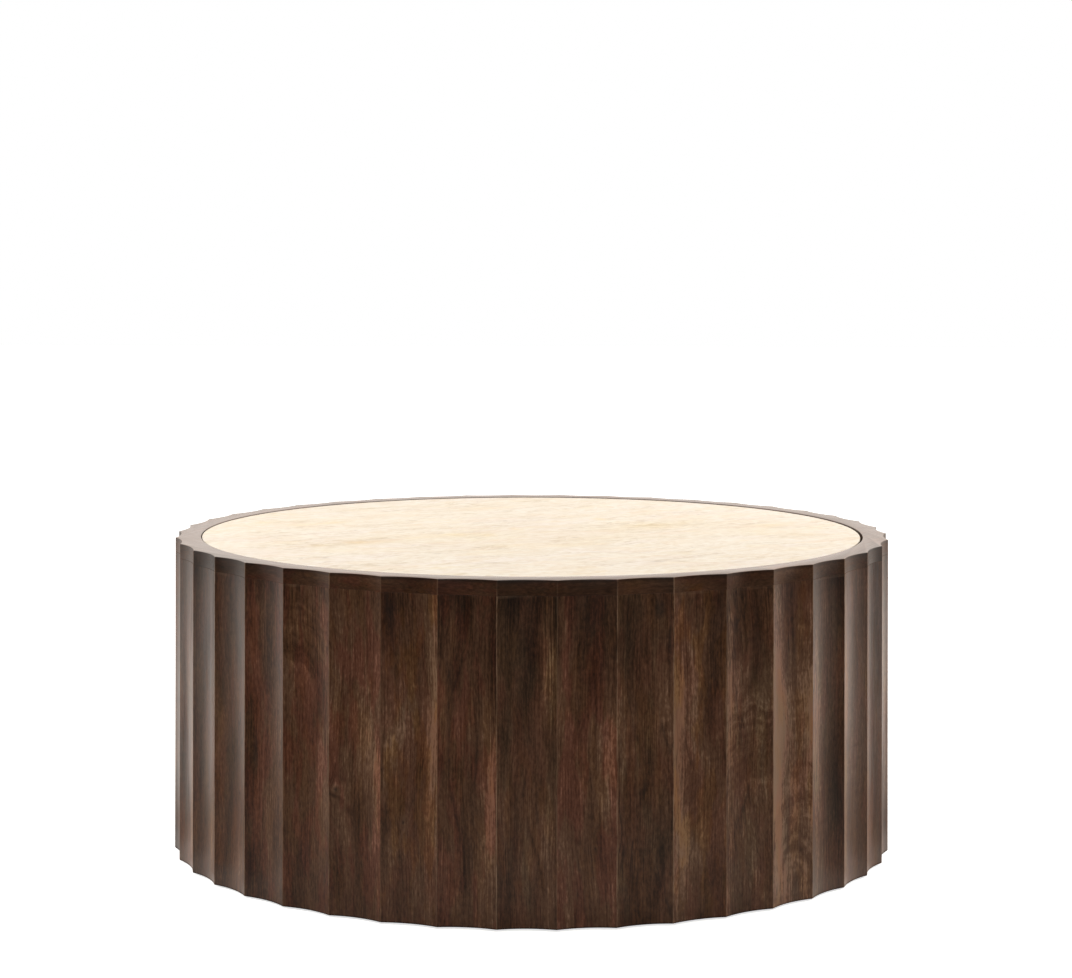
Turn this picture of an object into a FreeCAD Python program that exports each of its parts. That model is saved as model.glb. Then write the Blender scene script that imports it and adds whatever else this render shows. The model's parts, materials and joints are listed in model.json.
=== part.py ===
import FreeCAD, Part
import math
import os

import Sketcher
from FreeCAD import Placement, Rotation, Vector

# Round drum coffee table: upright fluted staves, a fluted ring on top and a loose stone disc in it.
# Millimetres. +Z is up, and the origin is on the floor under the middle of the drum.

os.makedirs("parts", exist_ok=True)
document = FreeCAD.newDocument("drum_table")
sheet = document.addObject("Spreadsheet::Sheet", "Sizes")

driving_sizes = (
    ("ridge_radius", 450, "middle of the drum to the sharp ridge between two flutes"),
    ("table_height", 390, "floor to the top of the ring"),
    ("rim_segments", 6, "pieces in the ring"),
    ("flutes_per_segment", 7, "flutes on each piece of the ring, with one stave under each"),
    ("flute_depth", 5, "line between two ridges to the deepest line of the flute"),
    ("ridge_trim", 0.35, "wood taken off each sharp ridge"),
    ("stave_thickness", 24, "line between two ridges to the flat inner face"),
    ("foot_chamfer", 1.2, "chamfer round the outer lower edge of a stave"),
    ("rim_thickness", 18, "thickness of the ring"),
    ("rim_width", 32, "ridge to the wall of the stone's recess"),
    ("rim_edge_chamfer", 0.7, "chamfer on the top edges of the ring"),
    ("reveal_gap", 2, "mean gap between the stone and the wall of its recess"),
    ("stone_shift", 1.2, "how far the loose stone lies off the middle, towards -X"),
    ("stone_setback", 0.5, "how far the stone lies below the top of the ring"),
    ("stone_edge_round", 1.2, "rounding of the stone's upper edge"),
    ("bumper_radius", 6, "soft dot under the stone"),
    ("bumper_thickness", 1.5, "height of a soft dot"),
    ("outer_bumper_count", 8, "dots near the edge of the stone"),
    ("inner_bumper_count", 4, "dots near the middle of the stone"),
    ("outer_bumper_inset", 70, "ridge to the outer circle of dots"),
    ("inner_bumper_circle", 160, "radius of the inner circle of dots"),
    ("panel_thickness", 18, "plywood under the stone"),
    ("panel_gap", 1, "gap between the panel and the inside of the staves"),
    ("hoop_thickness", 18, "plywood rings inside the staves"),
    ("hoop_width", 75, "flat on a hoop's outside to its inner edge"),
    ("post_depth", 40, "radial size of a post"),
    ("post_width", 60, "size of a post along the hoop"),
    ("post_count", 4, "posts between the hoops"),
    ("rail_thickness", 22, "rail on edge, across"),
    ("rail_height", 60, "rail on edge, upwards"),
    ("rail_end_gap", 10, "end of a rail to the inside of the staves"),
    ("rail_shoulder_gap", 0.5, "shoulder of a rail to the inner edge of the upper hoop"),
    ("spline_thickness", 5, "loose tongue between two ring pieces"),
    ("spline_width", 18, "radial size of a loose tongue"),
    ("spline_length", 36, "size of a loose tongue across the joint"),
    ("spline_gap", 0.3, "gap between a tongue and its slot, on every side"),
    ("screw_radius", 2, "shank of every screw"),
    ("screw_head_radius", 4, "countersunk head"),
    ("screw_head_height", 2.4, "countersunk head"),
    ("screw_tip_length", 4, "pointed end of a screw"),
    ("screw_gap", 0.1, "gap between a screw and its hole"),
    ("drive_length", 4, "cross slot in a screw head"),
    ("drive_width", 0.8, "cross slot in a screw head"),
    ("drive_depth", 1.4, "cross slot in a screw head"),
    ("panel_screw_count", 8, "screws from the panel into the upper hoop"),
    ("panel_screw_bite", 12, "length of such a screw below the panel"),
    ("panel_screw_inset", 52, "ridge to the circle of these screws"),
    ("frame_screw_bite", 27, "length of a frame screw beyond the hoop it goes through"),
    ("glide_count", 8, "glides under the base hoop"),
    ("glide_radius", 12, "head of a glide"),
    ("glide_thickness", 2, "head of a glide, and the gap under the staves"),
    ("glide_pin_radius", 1.5, "nail of a glide"),
    ("glide_pin_length", 12, "nail of a glide"),
    ("glide_inset", 48, "ridge to the circle of glides"),
    ("overrun", 1, "how far a cutting shape runs past the face it cuts"),
)


def fill_sheet():
    for row, (alias, number, note) in enumerate(driving_sizes, start=1):
        sheet.set("A%d" % row, alias)
        sheet.set("B%d" % row, str(number))
        sheet.set("C%d" % row, note)
        sheet.setAlias("B%d" % row, alias)
    document.recompute()


fill_sheet()

# Sizes that follow from the driving ones, as formulas that the features are bound to.
full_turn = 360
stave_count = "(Sizes.rim_segments * Sizes.flutes_per_segment)"
half_step = f"({full_turn} / 2 / {stave_count})"
half_segment = f"({full_turn} / 2 / Sizes.rim_segments)"
half_chord = f"(Sizes.ridge_radius * sin({half_step}))"
chord_distance = f"(Sizes.ridge_radius * cos({half_step}))"
flute_radius = f"(({half_chord}^2 + Sizes.flute_depth^2) / (2 * Sizes.flute_depth))"
flute_centre = f"({chord_distance} - Sizes.flute_depth + {flute_radius})"
trimmed_radius = "(Sizes.ridge_radius - Sizes.ridge_trim)"
stave_inside = f"({chord_distance} - Sizes.stave_thickness)"
rim_bottom = "(Sizes.table_height - Sizes.rim_thickness)"
recess_radius = "(Sizes.ridge_radius - Sizes.rim_width)"
stone_radius = f"({recess_radius} - Sizes.reveal_gap)"
stone_bottom = f"({rim_bottom} + Sizes.bumper_thickness)"
stone_thickness = "(Sizes.rim_thickness - Sizes.bumper_thickness - Sizes.stone_setback)"
panel_bottom = f"({rim_bottom} - Sizes.panel_thickness)"
upper_hoop_bottom = f"({panel_bottom} - Sizes.hoop_thickness)"
base_hoop_top = "(Sizes.glide_thickness + Sizes.hoop_thickness)"
hoop_inside = f"({stave_inside} - Sizes.hoop_width)"
hoop_middle = f"({stave_inside} - Sizes.hoop_width / 2)"
rail_reach = f"({stave_inside} - Sizes.rail_end_gap)"
rail_shoulder = f"({hoop_inside} - Sizes.rail_shoulder_gap)"
rail_screw_circle = f"(({rail_reach} + {hoop_inside}) / 2)"
spline_middle = f"(({recess_radius} + {chord_distance}) / 2)"
slot_bottom = "(Sizes.rim_thickness / 2 - Sizes.spline_thickness / 2 - Sizes.spline_gap)"
upwards = Vector(0, 0, 1)
nodes = {}


def number(formula):
    return float(sheet.evalExpression(formula))


def bind(feature, **formulas):
    for name, formula in formulas.items():
        feature.setExpression(name, formula)


def keep(name, feature):
    feature.Label = name
    nodes[name] = feature
    return feature


def turned(angle, point=Vector()):
    return Placement(Vector(), Rotation(upwards, angle)).multiply(Placement(point, Rotation()))


def around(count, first_angle):
    return [first_angle + full_turn * index / count for index in range(int(count))]


def around_between(count):
    # The same circle of places, with the X axis in the middle between two of them.
    return around(count, full_turn / count / 2)


def origin_part(body, role):
    return [part for part in body.Origin.OriginFeatures if part.Role == role][0]


def new_sketch(body, name):
    sketch = body.newObject("Sketcher::SketchObject", name)
    sketch.AttachmentSupport = [(origin_part(body, "XY_Plane"), "")]
    sketch.MapMode = "FlatFace"
    return sketch


def hold(sketch, name, formula, kind, *where):
    index = sketch.addConstraint(Sketcher.Constraint(kind, *where, number(formula)))
    sketch.renameConstraint(index, name)
    sketch.setExpression("Constraints." + name, formula)


def hold_angle(sketch, name, formula, line):
    index = sketch.addConstraint(Sketcher.Constraint("Angle", line, math.radians(number(formula))))
    sketch.renameConstraint(index, name)
    sketch.setExpression("Constraints." + name, formula)


def polar(radius, angle):
    return Vector(radius * math.cos(math.radians(angle)), radius * math.sin(math.radians(angle)), 0)


def side_line(sketch, name, inner, outer, angle):
    # A side of a wedge: it points at the middle of the drum, at an angle from the X axis.
    line = sketch.addGeometry(Part.LineSegment(polar(inner, number(angle)), polar(outer, number(angle))))
    sketch.addConstraint(Sketcher.Constraint("PointOnObject", -1, 1, line))
    hold_angle(sketch, name, angle, line)
    return line


def middle_arc(sketch, name, radius, half_angle):
    # An arc about the middle of the drum, from below the X axis to above it.
    half_turn = math.radians(number(half_angle))
    circle = Part.Circle(Vector(), upwards, number(radius))
    arc = sketch.addGeometry(Part.ArcOfCircle(circle, -half_turn, half_turn))
    sketch.addConstraint(Sketcher.Constraint("Coincident", arc, 3, -1, 1))
    hold(sketch, name, radius, "Radius", arc)
    return arc


def join(sketch, *pairs):
    for pair in pairs:
        sketch.addConstraint(Sketcher.Constraint("Coincident", *pair))


def pad(body, sketch, height):
    feature = body.newObject("PartDesign::Pad", "thickness")
    feature.Profile = sketch
    feature.setExpression("Length", height)
    sketch.Visibility = False
    return feature


def cut_flute(body, angle):
    # The hollow of a flute is part of an upright cylinder that stands outside the drum.
    sketch = new_sketch(body, "flute_circle")
    centre = polar(number(flute_centre), number(angle))
    spoke = sketch.addGeometry(Part.LineSegment(Vector(), centre), True)
    circle = sketch.addGeometry(Part.Circle(centre, upwards, number(flute_radius)))
    join(sketch, (spoke, 1, -1, 1), (spoke, 2, circle, 3))
    hold_angle(sketch, "turn", angle, spoke)
    hold(sketch, "reach", flute_centre, "Distance", spoke)
    hold(sketch, "round", flute_radius, "Radius", circle)
    flute = body.newObject("PartDesign::Pocket", "flute")
    flute.Profile = sketch
    flute.Type = "ThroughAll"
    flute.Reversed = True
    return flute


def edge_names(shape, chosen):
    return ["Edge%d" % (index + 1) for index, edge in enumerate(shape.Edges) if chosen(edge)]


def lies_at(edge, height):
    ends = [vertex.Z for vertex in edge.Vertexes]
    return all(math.isclose(end, height, abs_tol=Part.Precision.confusion()) for end in ends)


def is_round(edge):
    return edge.Curve.TypeId == "Part::GeomCircle"


def chamfer(body, base, names, size):
    feature = body.newObject("PartDesign::Chamfer", "edge_chamfer")
    feature.Base = (base, names)
    feature.setExpression("Size", size)
    body.Tip = feature
    return feature


def make_staves():
    foot_edges = []
    count = int(number(stave_count))
    for index in range(1, count + 1):
        name = "stave_%02d" % index
        body = keep(name, document.addObject("PartDesign::Body", name))
        sketch = new_sketch(body, "outline")
        near = number(stave_inside)
        far = number(trimmed_radius)
        low_corner = polar(near / math.cos(math.radians(number(half_step))), -number(half_step))
        high_corner = Vector(low_corner.x, -low_corner.y, 0)
        inner = sketch.addGeometry(Part.LineSegment(low_corner, high_corner))
        low = side_line(sketch, "low_angle", low_corner.Length, far, "-" + half_step)
        high = side_line(sketch, "high_angle", low_corner.Length, far, half_step)
        outer = middle_arc(sketch, "outer_radius", trimmed_radius, half_step)
        join(sketch, (inner, 1, low, 1), (inner, 2, high, 1), (low, 2, outer, 1), (high, 2, outer, 2))
        sketch.addConstraint(Sketcher.Constraint("Vertical", inner))
        hold(sketch, "inside", stave_inside, "DistanceX", -1, 1, inner, 1)
        pad(body, sketch, f"{rim_bottom} - Sizes.glide_thickness")
        flute = cut_flute(body, "0")
        if not foot_edges:
            document.recompute()
            outside = number(stave_inside) + number("Sizes.stave_thickness") / 2
            foot_edges = edge_names(
                flute.Shape,
                lambda edge: lies_at(edge, 0) and is_round(edge) and edge.CenterOfMass.x > outside)
        chamfer(body, flute, foot_edges, "Sizes.foot_chamfer")
        body.Placement = turned((2 * index - 1) * number(half_step))
        body.setExpression("Placement.Base.z", "Sizes.glide_thickness")


def spline_slot(body, side):
    # Half of a loose tongue's slot, open at one end of a ring piece.
    slot = body.newObject("PartDesign::SubtractiveBox", "spline_slot")
    slot.AttachmentSupport = [(origin_part(body, "XY_Plane"), "")]
    slot.MapMode = "FlatFace"
    width = "(Sizes.spline_width + 2 * Sizes.spline_gap)"
    length = "(Sizes.spline_length + 2 * Sizes.spline_gap)"
    bind(slot, Length=width, Width=length, Height="Sizes.spline_thickness + 2 * Sizes.spline_gap")
    corner = Vector(
        number(f"{spline_middle} - {width} / 2"),
        number(f"-{length} / 2"),
        number(slot_bottom))
    slot.AttachmentOffset = turned(side * number(half_segment), corner)
    return slot


def make_rim():
    rim_edges = []
    first_joint = 2 * number(half_step)
    for index in range(1, int(number("Sizes.rim_segments")) + 1):
        name = "rim_segment_%d" % index
        body = keep(name, document.addObject("PartDesign::Body", name))
        sketch = new_sketch(body, "outline")
        near = number(recess_radius)
        far = number(trimmed_radius)
        inner = middle_arc(sketch, "recess", recess_radius, half_segment)
        outer = middle_arc(sketch, "outer_radius", trimmed_radius, half_segment)
        low = side_line(sketch, "low_angle", near, far, "-" + half_segment)
        high = side_line(sketch, "high_angle", near, far, half_segment)
        join(sketch, (low, 1, inner, 1), (low, 2, outer, 1), (high, 1, inner, 2), (high, 2, outer, 2))
        pad(body, sketch, "Sizes.rim_thickness")
        first_flute = f"(-{half_segment} + {half_step})"
        flute = cut_flute(body, first_flute)
        flutes = body.newObject("PartDesign::PolarPattern", "flutes")
        flutes.Originals = [flute]
        flutes.Axis = (origin_part(body, "Z_Axis"), [""])
        bind(flutes, Angle=f"2 * ({half_segment} - {half_step})", Occurrences="Sizes.flutes_per_segment")
        body.Tip = flutes
        if not rim_edges:
            document.recompute()
            rim_edges = edge_names(
                flutes.Shape,
                lambda edge: lies_at(edge, number("Sizes.rim_thickness")) and is_round(edge))
        chamfer(body, flutes, rim_edges, "Sizes.rim_edge_chamfer")
        spline_slot(body, -1)
        body.Tip = spline_slot(body, 1)
        middle = first_joint + (2 * index - 1) * number(half_segment)
        body.Placement = turned(middle)
        body.setExpression("Placement.Base.z", rim_bottom)


def make_disc(name, radius, thickness, bottom, shift):
    body = document.addObject("PartDesign::Body", name)
    sketch = new_sketch(body, "outline")
    circle = sketch.addGeometry(Part.Circle(Vector(), upwards, number(radius)))
    join(sketch, (circle, 3, -1, 1))
    hold(sketch, "radius", radius, "Radius", circle)
    pad(body, sketch, thickness)
    body.setExpression("Placement.Base.x", shift)
    body.setExpression("Placement.Base.z", bottom)
    document.recompute()
    return body


def make_stone():
    body = keep("stone_top", make_disc("stone_top", stone_radius, stone_thickness, stone_bottom,
                                       "-Sizes.stone_shift"))
    disc = body.Tip
    upper = number(stone_thickness)
    edge_round = body.newObject("PartDesign::Fillet", "edge_round")
    edge_round.Base = (disc, edge_names(disc.Shape, lambda edge: is_round(edge) and lies_at(edge, upper)))
    edge_round.setExpression("Radius", "Sizes.stone_edge_round")
    body.Tip = edge_round


def make_hoop(name, bottom):
    # A ring with one outer flat for each stave and a round inner edge.
    outline = document.addObject("Part::RegularPolygon", name + "_outline")
    bind(outline, Polygon=stave_count, Circumradius=f"{stave_inside} / cos({half_step})")
    plate = document.addObject("Part::Extrusion", name + "_plate")
    plate.Base = outline
    plate.DirMode = "Custom"
    plate.Dir = upwards
    plate.Solid = True
    plate.setExpression("LengthFwd", "Sizes.hoop_thickness")
    opening = document.addObject("Part::Cylinder", name + "_opening")
    bind(opening, Radius=hoop_inside, Height="Sizes.hoop_thickness + 2 * Sizes.overrun")
    opening.setExpression("Placement.Base.z", "-Sizes.overrun")
    hoop = document.addObject("Part::Cut", name + "_ring")
    hoop.Base = plate
    hoop.Tool = opening
    hoop.setExpression("Placement.Base.z", bottom)
    return hoop


def make_posts():
    boxes = []
    height = f"({upper_hoop_bottom} - {base_hoop_top})"
    corner = Vector(
        number(f"{hoop_middle} - Sizes.post_depth / 2"),
        number("-Sizes.post_width / 2"),
        number(base_hoop_top))
    for angle in post_angles():
        box = document.addObject("Part::Box", "post")
        bind(box, Length="Sizes.post_depth", Width="Sizes.post_width", Height=height)
        box.Placement = turned(angle, corner)
        boxes.append(box)
    return group("posts", boxes)


def group(name, pieces):
    compound = document.addObject("Part::Compound", name)
    compound.Links = pieces
    return compound


def box_in(body, kind, name, sizes, corner):
    feature = body.newObject(kind, name)
    feature.AttachmentSupport = [(origin_part(body, "XY_Plane"), "")]
    feature.MapMode = "FlatFace"
    for side, formula in zip(("Length", "Width", "Height"), sizes):
        feature.setExpression(side, formula)
    for axis, formula in zip("xyz", corner):
        feature.setExpression("AttachmentOffset.Base." + axis, formula)
    return feature


def make_rail(name, angle, lap_bottom):
    # A rail on edge, with its ends lowered to pass under the hoop and half its height cut at the middle.
    body = document.addObject("PartDesign::Body", name + "_blank")
    wood = "Sizes.rail_thickness"
    half_wood = "-Sizes.rail_thickness / 2"
    box_in(body, "PartDesign::AdditiveBox", "bar",
           (f"2 * {rail_reach}", wood, "Sizes.rail_height"), (f"-{rail_reach}", half_wood, "0"))
    lowered = "(Sizes.rail_height - Sizes.hoop_thickness)"
    side = "Sizes.rail_thickness + 2 * Sizes.overrun"
    side_corner = "-Sizes.rail_thickness / 2 - Sizes.overrun"
    for start in (rail_shoulder, f"(-{rail_reach} - Sizes.overrun)"):
        box_in(body, "PartDesign::SubtractiveBox", "shoulder",
               (f"{rail_reach} - {rail_shoulder} + Sizes.overrun", side, "Sizes.hoop_thickness + Sizes.overrun"),
               (start, side_corner, lowered))
    body.Tip = box_in(body, "PartDesign::SubtractiveBox", "half_lap",
                      (wood, side, "Sizes.rail_height / 2 + Sizes.overrun"), (half_wood, side_corner, lap_bottom))
    body.Placement = turned(angle)
    body.setExpression("Placement.Base.z", f"{panel_bottom} - Sizes.rail_height")
    return body


def make_splines():
    boxes = []
    bottom = f"({rim_bottom} + {slot_bottom} + Sizes.spline_gap)"
    corner = Vector(
        number(f"{spline_middle} - Sizes.spline_width / 2"),
        number("-Sizes.spline_length / 2"),
        number(bottom))
    for angle in around(number("Sizes.rim_segments"), 2 * number(half_step)):
        box = document.addObject("Part::Box", "spline")
        bind(box, Length="Sizes.spline_width", Width="Sizes.spline_length", Height="Sizes.spline_thickness")
        box.Placement = turned(angle, corner)
        boxes.append(box)
    keep("rim_splines", group("rim_splines", boxes))


def make_bumpers():
    dots = []
    outer_circle = number("Sizes.ridge_radius - Sizes.outer_bumper_inset")
    inner_circle = number("Sizes.inner_bumper_circle")
    outer = [(outer_circle, angle) for angle in around(number("Sizes.outer_bumper_count"), 0)]
    inner = [(inner_circle, angle) for angle in around_between(number("Sizes.inner_bumper_count"))]
    for radius, angle in outer + inner:
        dot = document.addObject("Part::Cylinder", "bumper")
        bind(dot, Radius="Sizes.bumper_radius", Height="Sizes.bumper_thickness")
        dot.Placement = turned(angle, Vector(radius, 0, number(rim_bottom)))
        dots.append(dot)
    keep("stone_bumpers", group("stone_bumpers", dots))


def revolved(points):
    wire = Part.makePolygon([Vector(radius, 0, height) for radius, height in points + points[:1]])
    return Part.Face(wire).revolve(Vector(), upwards, full_turn)


def screw_shape(bite, sheet_thickness):
    # A countersunk screw that points down, with the top of its head at the origin.
    head = number("Sizes.screw_head_radius")
    shank = number("Sizes.screw_radius")
    length = bite + sheet_thickness
    tip_start = length - number("Sizes.screw_tip_length")
    neck = number("Sizes.screw_head_height")
    screw = revolved([(0, 0), (head, 0), (shank, -neck), (shank, -tip_start), (0, -length)])
    slot_length = number("Sizes.drive_length")
    slot_width = number("Sizes.drive_width")
    depth = number("Sizes.drive_depth")
    for size_x, size_y in ((slot_length, slot_width), (slot_width, slot_length)):
        corner = Vector(-size_x / 2, -size_y / 2, -depth)
        screw = screw.cut(Part.makeBox(size_x, size_y, depth + number("Sizes.overrun"), corner))
    return screw


def screw_hole(bite, sheet_thickness):
    # The space for such a screw, wider by the screw gap all along.
    gap = number("Sizes.screw_gap")
    head = number("Sizes.screw_head_radius") + gap
    shank = number("Sizes.screw_radius") + gap
    above = number("Sizes.overrun")
    neck = number("Sizes.screw_head_height")
    length = bite + sheet_thickness + gap
    return revolved([(0, above), (head, above), (head, 0), (shank, -neck), (shank, -length), (0, -length)])


def placed(shape, places):
    return Part.Compound([shape.transformed(place.toMatrix()) for place in places])


def feature_from(name, shape):
    feature = document.addObject("Part::Feature", name)
    feature.Shape = shape
    return feature


def cut_from(name, base, tool):
    cut = document.addObject("Part::Cut", name)
    cut.Base = base
    cut.Tool = tool
    return keep(name, cut)


def post_angles():
    return around_between(number("Sizes.post_count"))


def panel_screw_places():
    radius = number("Sizes.ridge_radius - Sizes.panel_screw_inset")
    head = Vector(radius, 0, number(rim_bottom))
    return [turned(angle, head) for angle in around_between(number("Sizes.panel_screw_count"))]


def frame_screw_places():
    # Down through the upper hoop into the posts and rails, and up through the base hoop into the posts.
    top = number(panel_bottom)
    over_post = Vector(number(hoop_middle), 0, top)
    over_rail = Vector(number(rail_screw_circle), 0, top)
    places = [turned(angle, over_post) for angle in post_angles()]
    places += [turned(angle, over_rail) for angle in around(number("Sizes.post_count"), 0)]
    under_post = Vector(number(hoop_middle), 0, number("Sizes.glide_thickness"))
    upside_down = Placement(Vector(), Rotation(Vector(1, 0, 0), full_turn / 2))
    places += [turned(angle, under_post).multiply(upside_down) for angle in post_angles()]
    return places


def glide_places():
    radius = number("Sizes.ridge_radius - Sizes.glide_inset")
    return [turned(angle, Vector(radius, 0, 0)) for angle in around_between(number("Sizes.glide_count"))]


def make_glides():
    head = number("Sizes.glide_radius")
    thickness = number("Sizes.glide_thickness")
    pin = number("Sizes.glide_pin_radius")
    top = thickness + number("Sizes.glide_pin_length")
    glide = revolved([(0, 0), (head, 0), (head, thickness), (pin, thickness), (pin, top), (0, top)])
    keep("floor_glides", feature_from("floor_glides", placed(glide, glide_places())))


def glide_holes():
    radius = number("Sizes.glide_pin_radius + Sizes.screw_gap")
    depth = number("Sizes.glide_pin_length + Sizes.screw_gap + Sizes.overrun")
    start = Vector(0, 0, number("Sizes.glide_thickness - Sizes.overrun"))
    return placed(Part.makeCylinder(radius, depth, start), glide_places())


def make_frame():
    panel_screw_size = (number("Sizes.panel_screw_bite"), number("Sizes.panel_thickness"))
    frame_screw_size = (number("Sizes.frame_screw_bite"), number("Sizes.hoop_thickness"))
    panel_places = panel_screw_places()
    frame_places = frame_screw_places()
    panel_screws = placed(screw_shape(*panel_screw_size), panel_places)
    frame_screws = placed(screw_shape(*frame_screw_size), frame_places)
    keep("panel_screws", feature_from("panel_screws", panel_screws))
    keep("frame_screws", feature_from("frame_screws", frame_screws))
    panel_holes = feature_from("panel_holes", placed(screw_hole(*panel_screw_size), panel_places))
    frame_holes = feature_from("frame_holes", placed(screw_hole(*frame_screw_size), frame_places))
    pin_holes = feature_from("pin_holes", glide_holes())
    upper_holes = group("upper_holes", [panel_holes, frame_holes])
    base_holes = group("base_holes", [frame_holes, pin_holes])
    panel_radius = f"({stave_inside} - Sizes.panel_gap)"
    panel = make_disc("panel_disc", panel_radius, "Sizes.panel_thickness", panel_bottom, "0")
    cut_from("support_panel", panel, panel_holes)
    cut_from("upper_hoop", make_hoop("upper_hoop", upper_hoop_bottom), upper_holes)
    cut_from("base_hoop", make_hoop("base_hoop", "Sizes.glide_thickness"), base_holes)
    cut_from("hoop_posts", make_posts(), frame_holes)
    cut_from("cross_rail_x", make_rail("cross_rail_x", 0, "Sizes.rail_height / 2"), frame_holes)
    cut_from("cross_rail_y", make_rail("cross_rail_y", full_turn / 4, "-Sizes.overrun"), frame_holes)


def check_document():
    for thing in document.Objects:
        if "Invalid" in thing.State or "Error" in thing.State:
            raise RuntimeError("failed feature: " + thing.Label)
    for name, feature in nodes.items():
        shape = feature.Shape
        if shape.isNull() or not shape.isValid() or not shape.Solids:
            raise RuntimeError("bad shape: " + name)


def check_flutes():
    # A flute that cuts nothing would leave a stave or ring piece as large as its blank.
    for name in ("stave_01", "rim_segment_1"):
        features = {feature.Name.rstrip("0123456789"): feature for feature in nodes[name].Group}
        blank = features["thickness"].Shape.Volume
        left = nodes[name].Shape.Volume
        print(name, "blank", round(blank), "fluted", round(left))
        if not left < blank:
            raise RuntimeError("no flute: " + name)


make_staves()
make_rim()
make_stone()
make_splines()
make_bumpers()
make_glides()
make_frame()
document.recompute()
check_document()
check_flutes()
for name, feature in nodes.items():
    feature.Shape.exportStep("parts/%s.step" % name)
print(len(nodes), "nodes written")
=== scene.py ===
import json
import math
import random

import bmesh
import bpy
from mathutils import Matrix, Vector, noise


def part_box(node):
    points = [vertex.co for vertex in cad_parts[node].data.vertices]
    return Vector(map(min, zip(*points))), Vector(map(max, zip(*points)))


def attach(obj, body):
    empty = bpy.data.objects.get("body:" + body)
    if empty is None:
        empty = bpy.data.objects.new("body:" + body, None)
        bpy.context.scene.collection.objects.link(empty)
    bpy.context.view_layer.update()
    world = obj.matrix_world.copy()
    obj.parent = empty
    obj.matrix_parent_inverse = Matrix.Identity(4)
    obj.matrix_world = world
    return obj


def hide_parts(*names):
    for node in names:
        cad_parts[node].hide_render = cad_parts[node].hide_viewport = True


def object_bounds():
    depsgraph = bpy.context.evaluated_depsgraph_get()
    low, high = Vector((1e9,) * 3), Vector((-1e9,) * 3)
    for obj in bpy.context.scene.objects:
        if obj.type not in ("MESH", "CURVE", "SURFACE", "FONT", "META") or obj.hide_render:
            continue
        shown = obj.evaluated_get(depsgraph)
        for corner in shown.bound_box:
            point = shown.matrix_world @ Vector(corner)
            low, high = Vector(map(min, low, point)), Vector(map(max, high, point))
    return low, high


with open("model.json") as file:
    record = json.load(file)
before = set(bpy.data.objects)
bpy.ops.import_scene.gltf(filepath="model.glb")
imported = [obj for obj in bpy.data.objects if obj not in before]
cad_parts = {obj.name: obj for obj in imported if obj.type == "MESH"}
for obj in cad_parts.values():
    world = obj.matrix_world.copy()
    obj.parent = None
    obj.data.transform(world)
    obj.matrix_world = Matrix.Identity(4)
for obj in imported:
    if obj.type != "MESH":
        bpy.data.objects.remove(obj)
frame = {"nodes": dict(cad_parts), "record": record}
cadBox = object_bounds()

tableTop = cadBox[1].z
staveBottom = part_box("stave_01")[0].z
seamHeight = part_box("rim_segment_1")[0].z
stoneBottom, stoneTop = (corner.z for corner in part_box("stone_top"))

mm = 0.001
drum = {
    "ridgeRadius": 0.45,        # middle of the drum to a sharp ridge
    "fluteCount": 42,
    "fluteDepth": 0.005,        # below the line between two ridges
    "ridgeRound": 0.0013,       # radius that the ridges are sanded to
    "staveDepth": 0.024,        # line between two ridges to the flat back
    "rimWidth": 0.032,          # ridge to the wall of the recess
    "segmentCount": 6,
    "stoneRadius": 0.416,
    "stoneShift": -0.0012,
    "ridgeSteps": 3,
    "hollowSteps": 14,
    "tiny": 1e-6,               # points closer than this count as one
}
drum["step"] = 2 * math.pi / drum["fluteCount"]
drum["firstJoint"] = drum["step"]     # the ring's first end joint stands over this ridge


def polar(radius, angle, height=0.0):
    return Vector((radius * math.cos(angle), radius * math.sin(angle), height))


# The camera stands where the photograph's outline, rim and ridges put it.
def makeCamera():
    eye = {
        "distance": 3.4773,
        "height": 0.8058,
        "turn": 0.01225,        # round the drum, towards +X
        "aimRight": 0.00125,
        "roll": 0.0017,
        "photoWidth": 1072,
        "focalPixels": 2731.7,
        "rise": -0.2646,        # the lens stays level and is shifted down, as the upright ridges show
        "sensor": 36.0,
    }
    data = bpy.data.cameras.new("photoCamera")
    data.sensor_fit = "HORIZONTAL"
    data.sensor_width = eye["sensor"]
    data.lens = eye["focalPixels"] / eye["photoWidth"] * eye["sensor"]
    data.shift_y = eye["rise"]
    data.clip_start, data.clip_end = 0.05, 60
    camera = bpy.data.objects.new("photoCamera", data)
    bpy.context.scene.collection.objects.link(camera)
    place = polar(eye["distance"], eye["turn"] - math.pi / 2, eye["height"])
    turn = Matrix.Rotation(eye["turn"] - eye["aimRight"], 4, "Z")
    level = Matrix.Rotation(math.pi / 2, 4, "X")
    camera.matrix_world = Matrix.Translation(place) @ turn @ level @ Matrix.Rotation(eye["roll"], 4, "Z")
    bpy.context.scene.camera = camera
    print("camera in place")


filling = {"tree": None}        # the node tree that new nodes go into


# A socket takes a link, a number, a vector or a colour of three numbers.
def feed(socket, value):
    if isinstance(value, bpy.types.NodeSocket):
        filling["tree"].links.new(value, socket)
    elif socket.type == "RGBA":
        socket.default_value = (*value, 1.0)
    else:
        socket.default_value = value


def addNode(kind, feeds=(), **settings):
    made = filling["tree"].nodes.new(kind)
    for name, value in settings.items():
        setattr(made, name, value)
    for name, value in dict(feeds).items():
        feed(made.inputs[name], value)
    return made


def maths(operation, first, second=0.5, third=0.5, clamp=False):
    made = addNode("ShaderNodeMath", operation=operation, use_clamp=clamp)
    for socket, value in zip(made.inputs, (first, second, third)):
        feed(socket, value)
    return made.outputs[0]


def times(first, second, clamp=False):
    return maths("MULTIPLY", first, second, clamp=clamp)


def plus(first, second, clamp=False):
    return maths("ADD", first, second, clamp=clamp)


def minus(first, second, clamp=False):
    return maths("SUBTRACT", first, second, clamp=clamp)


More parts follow.
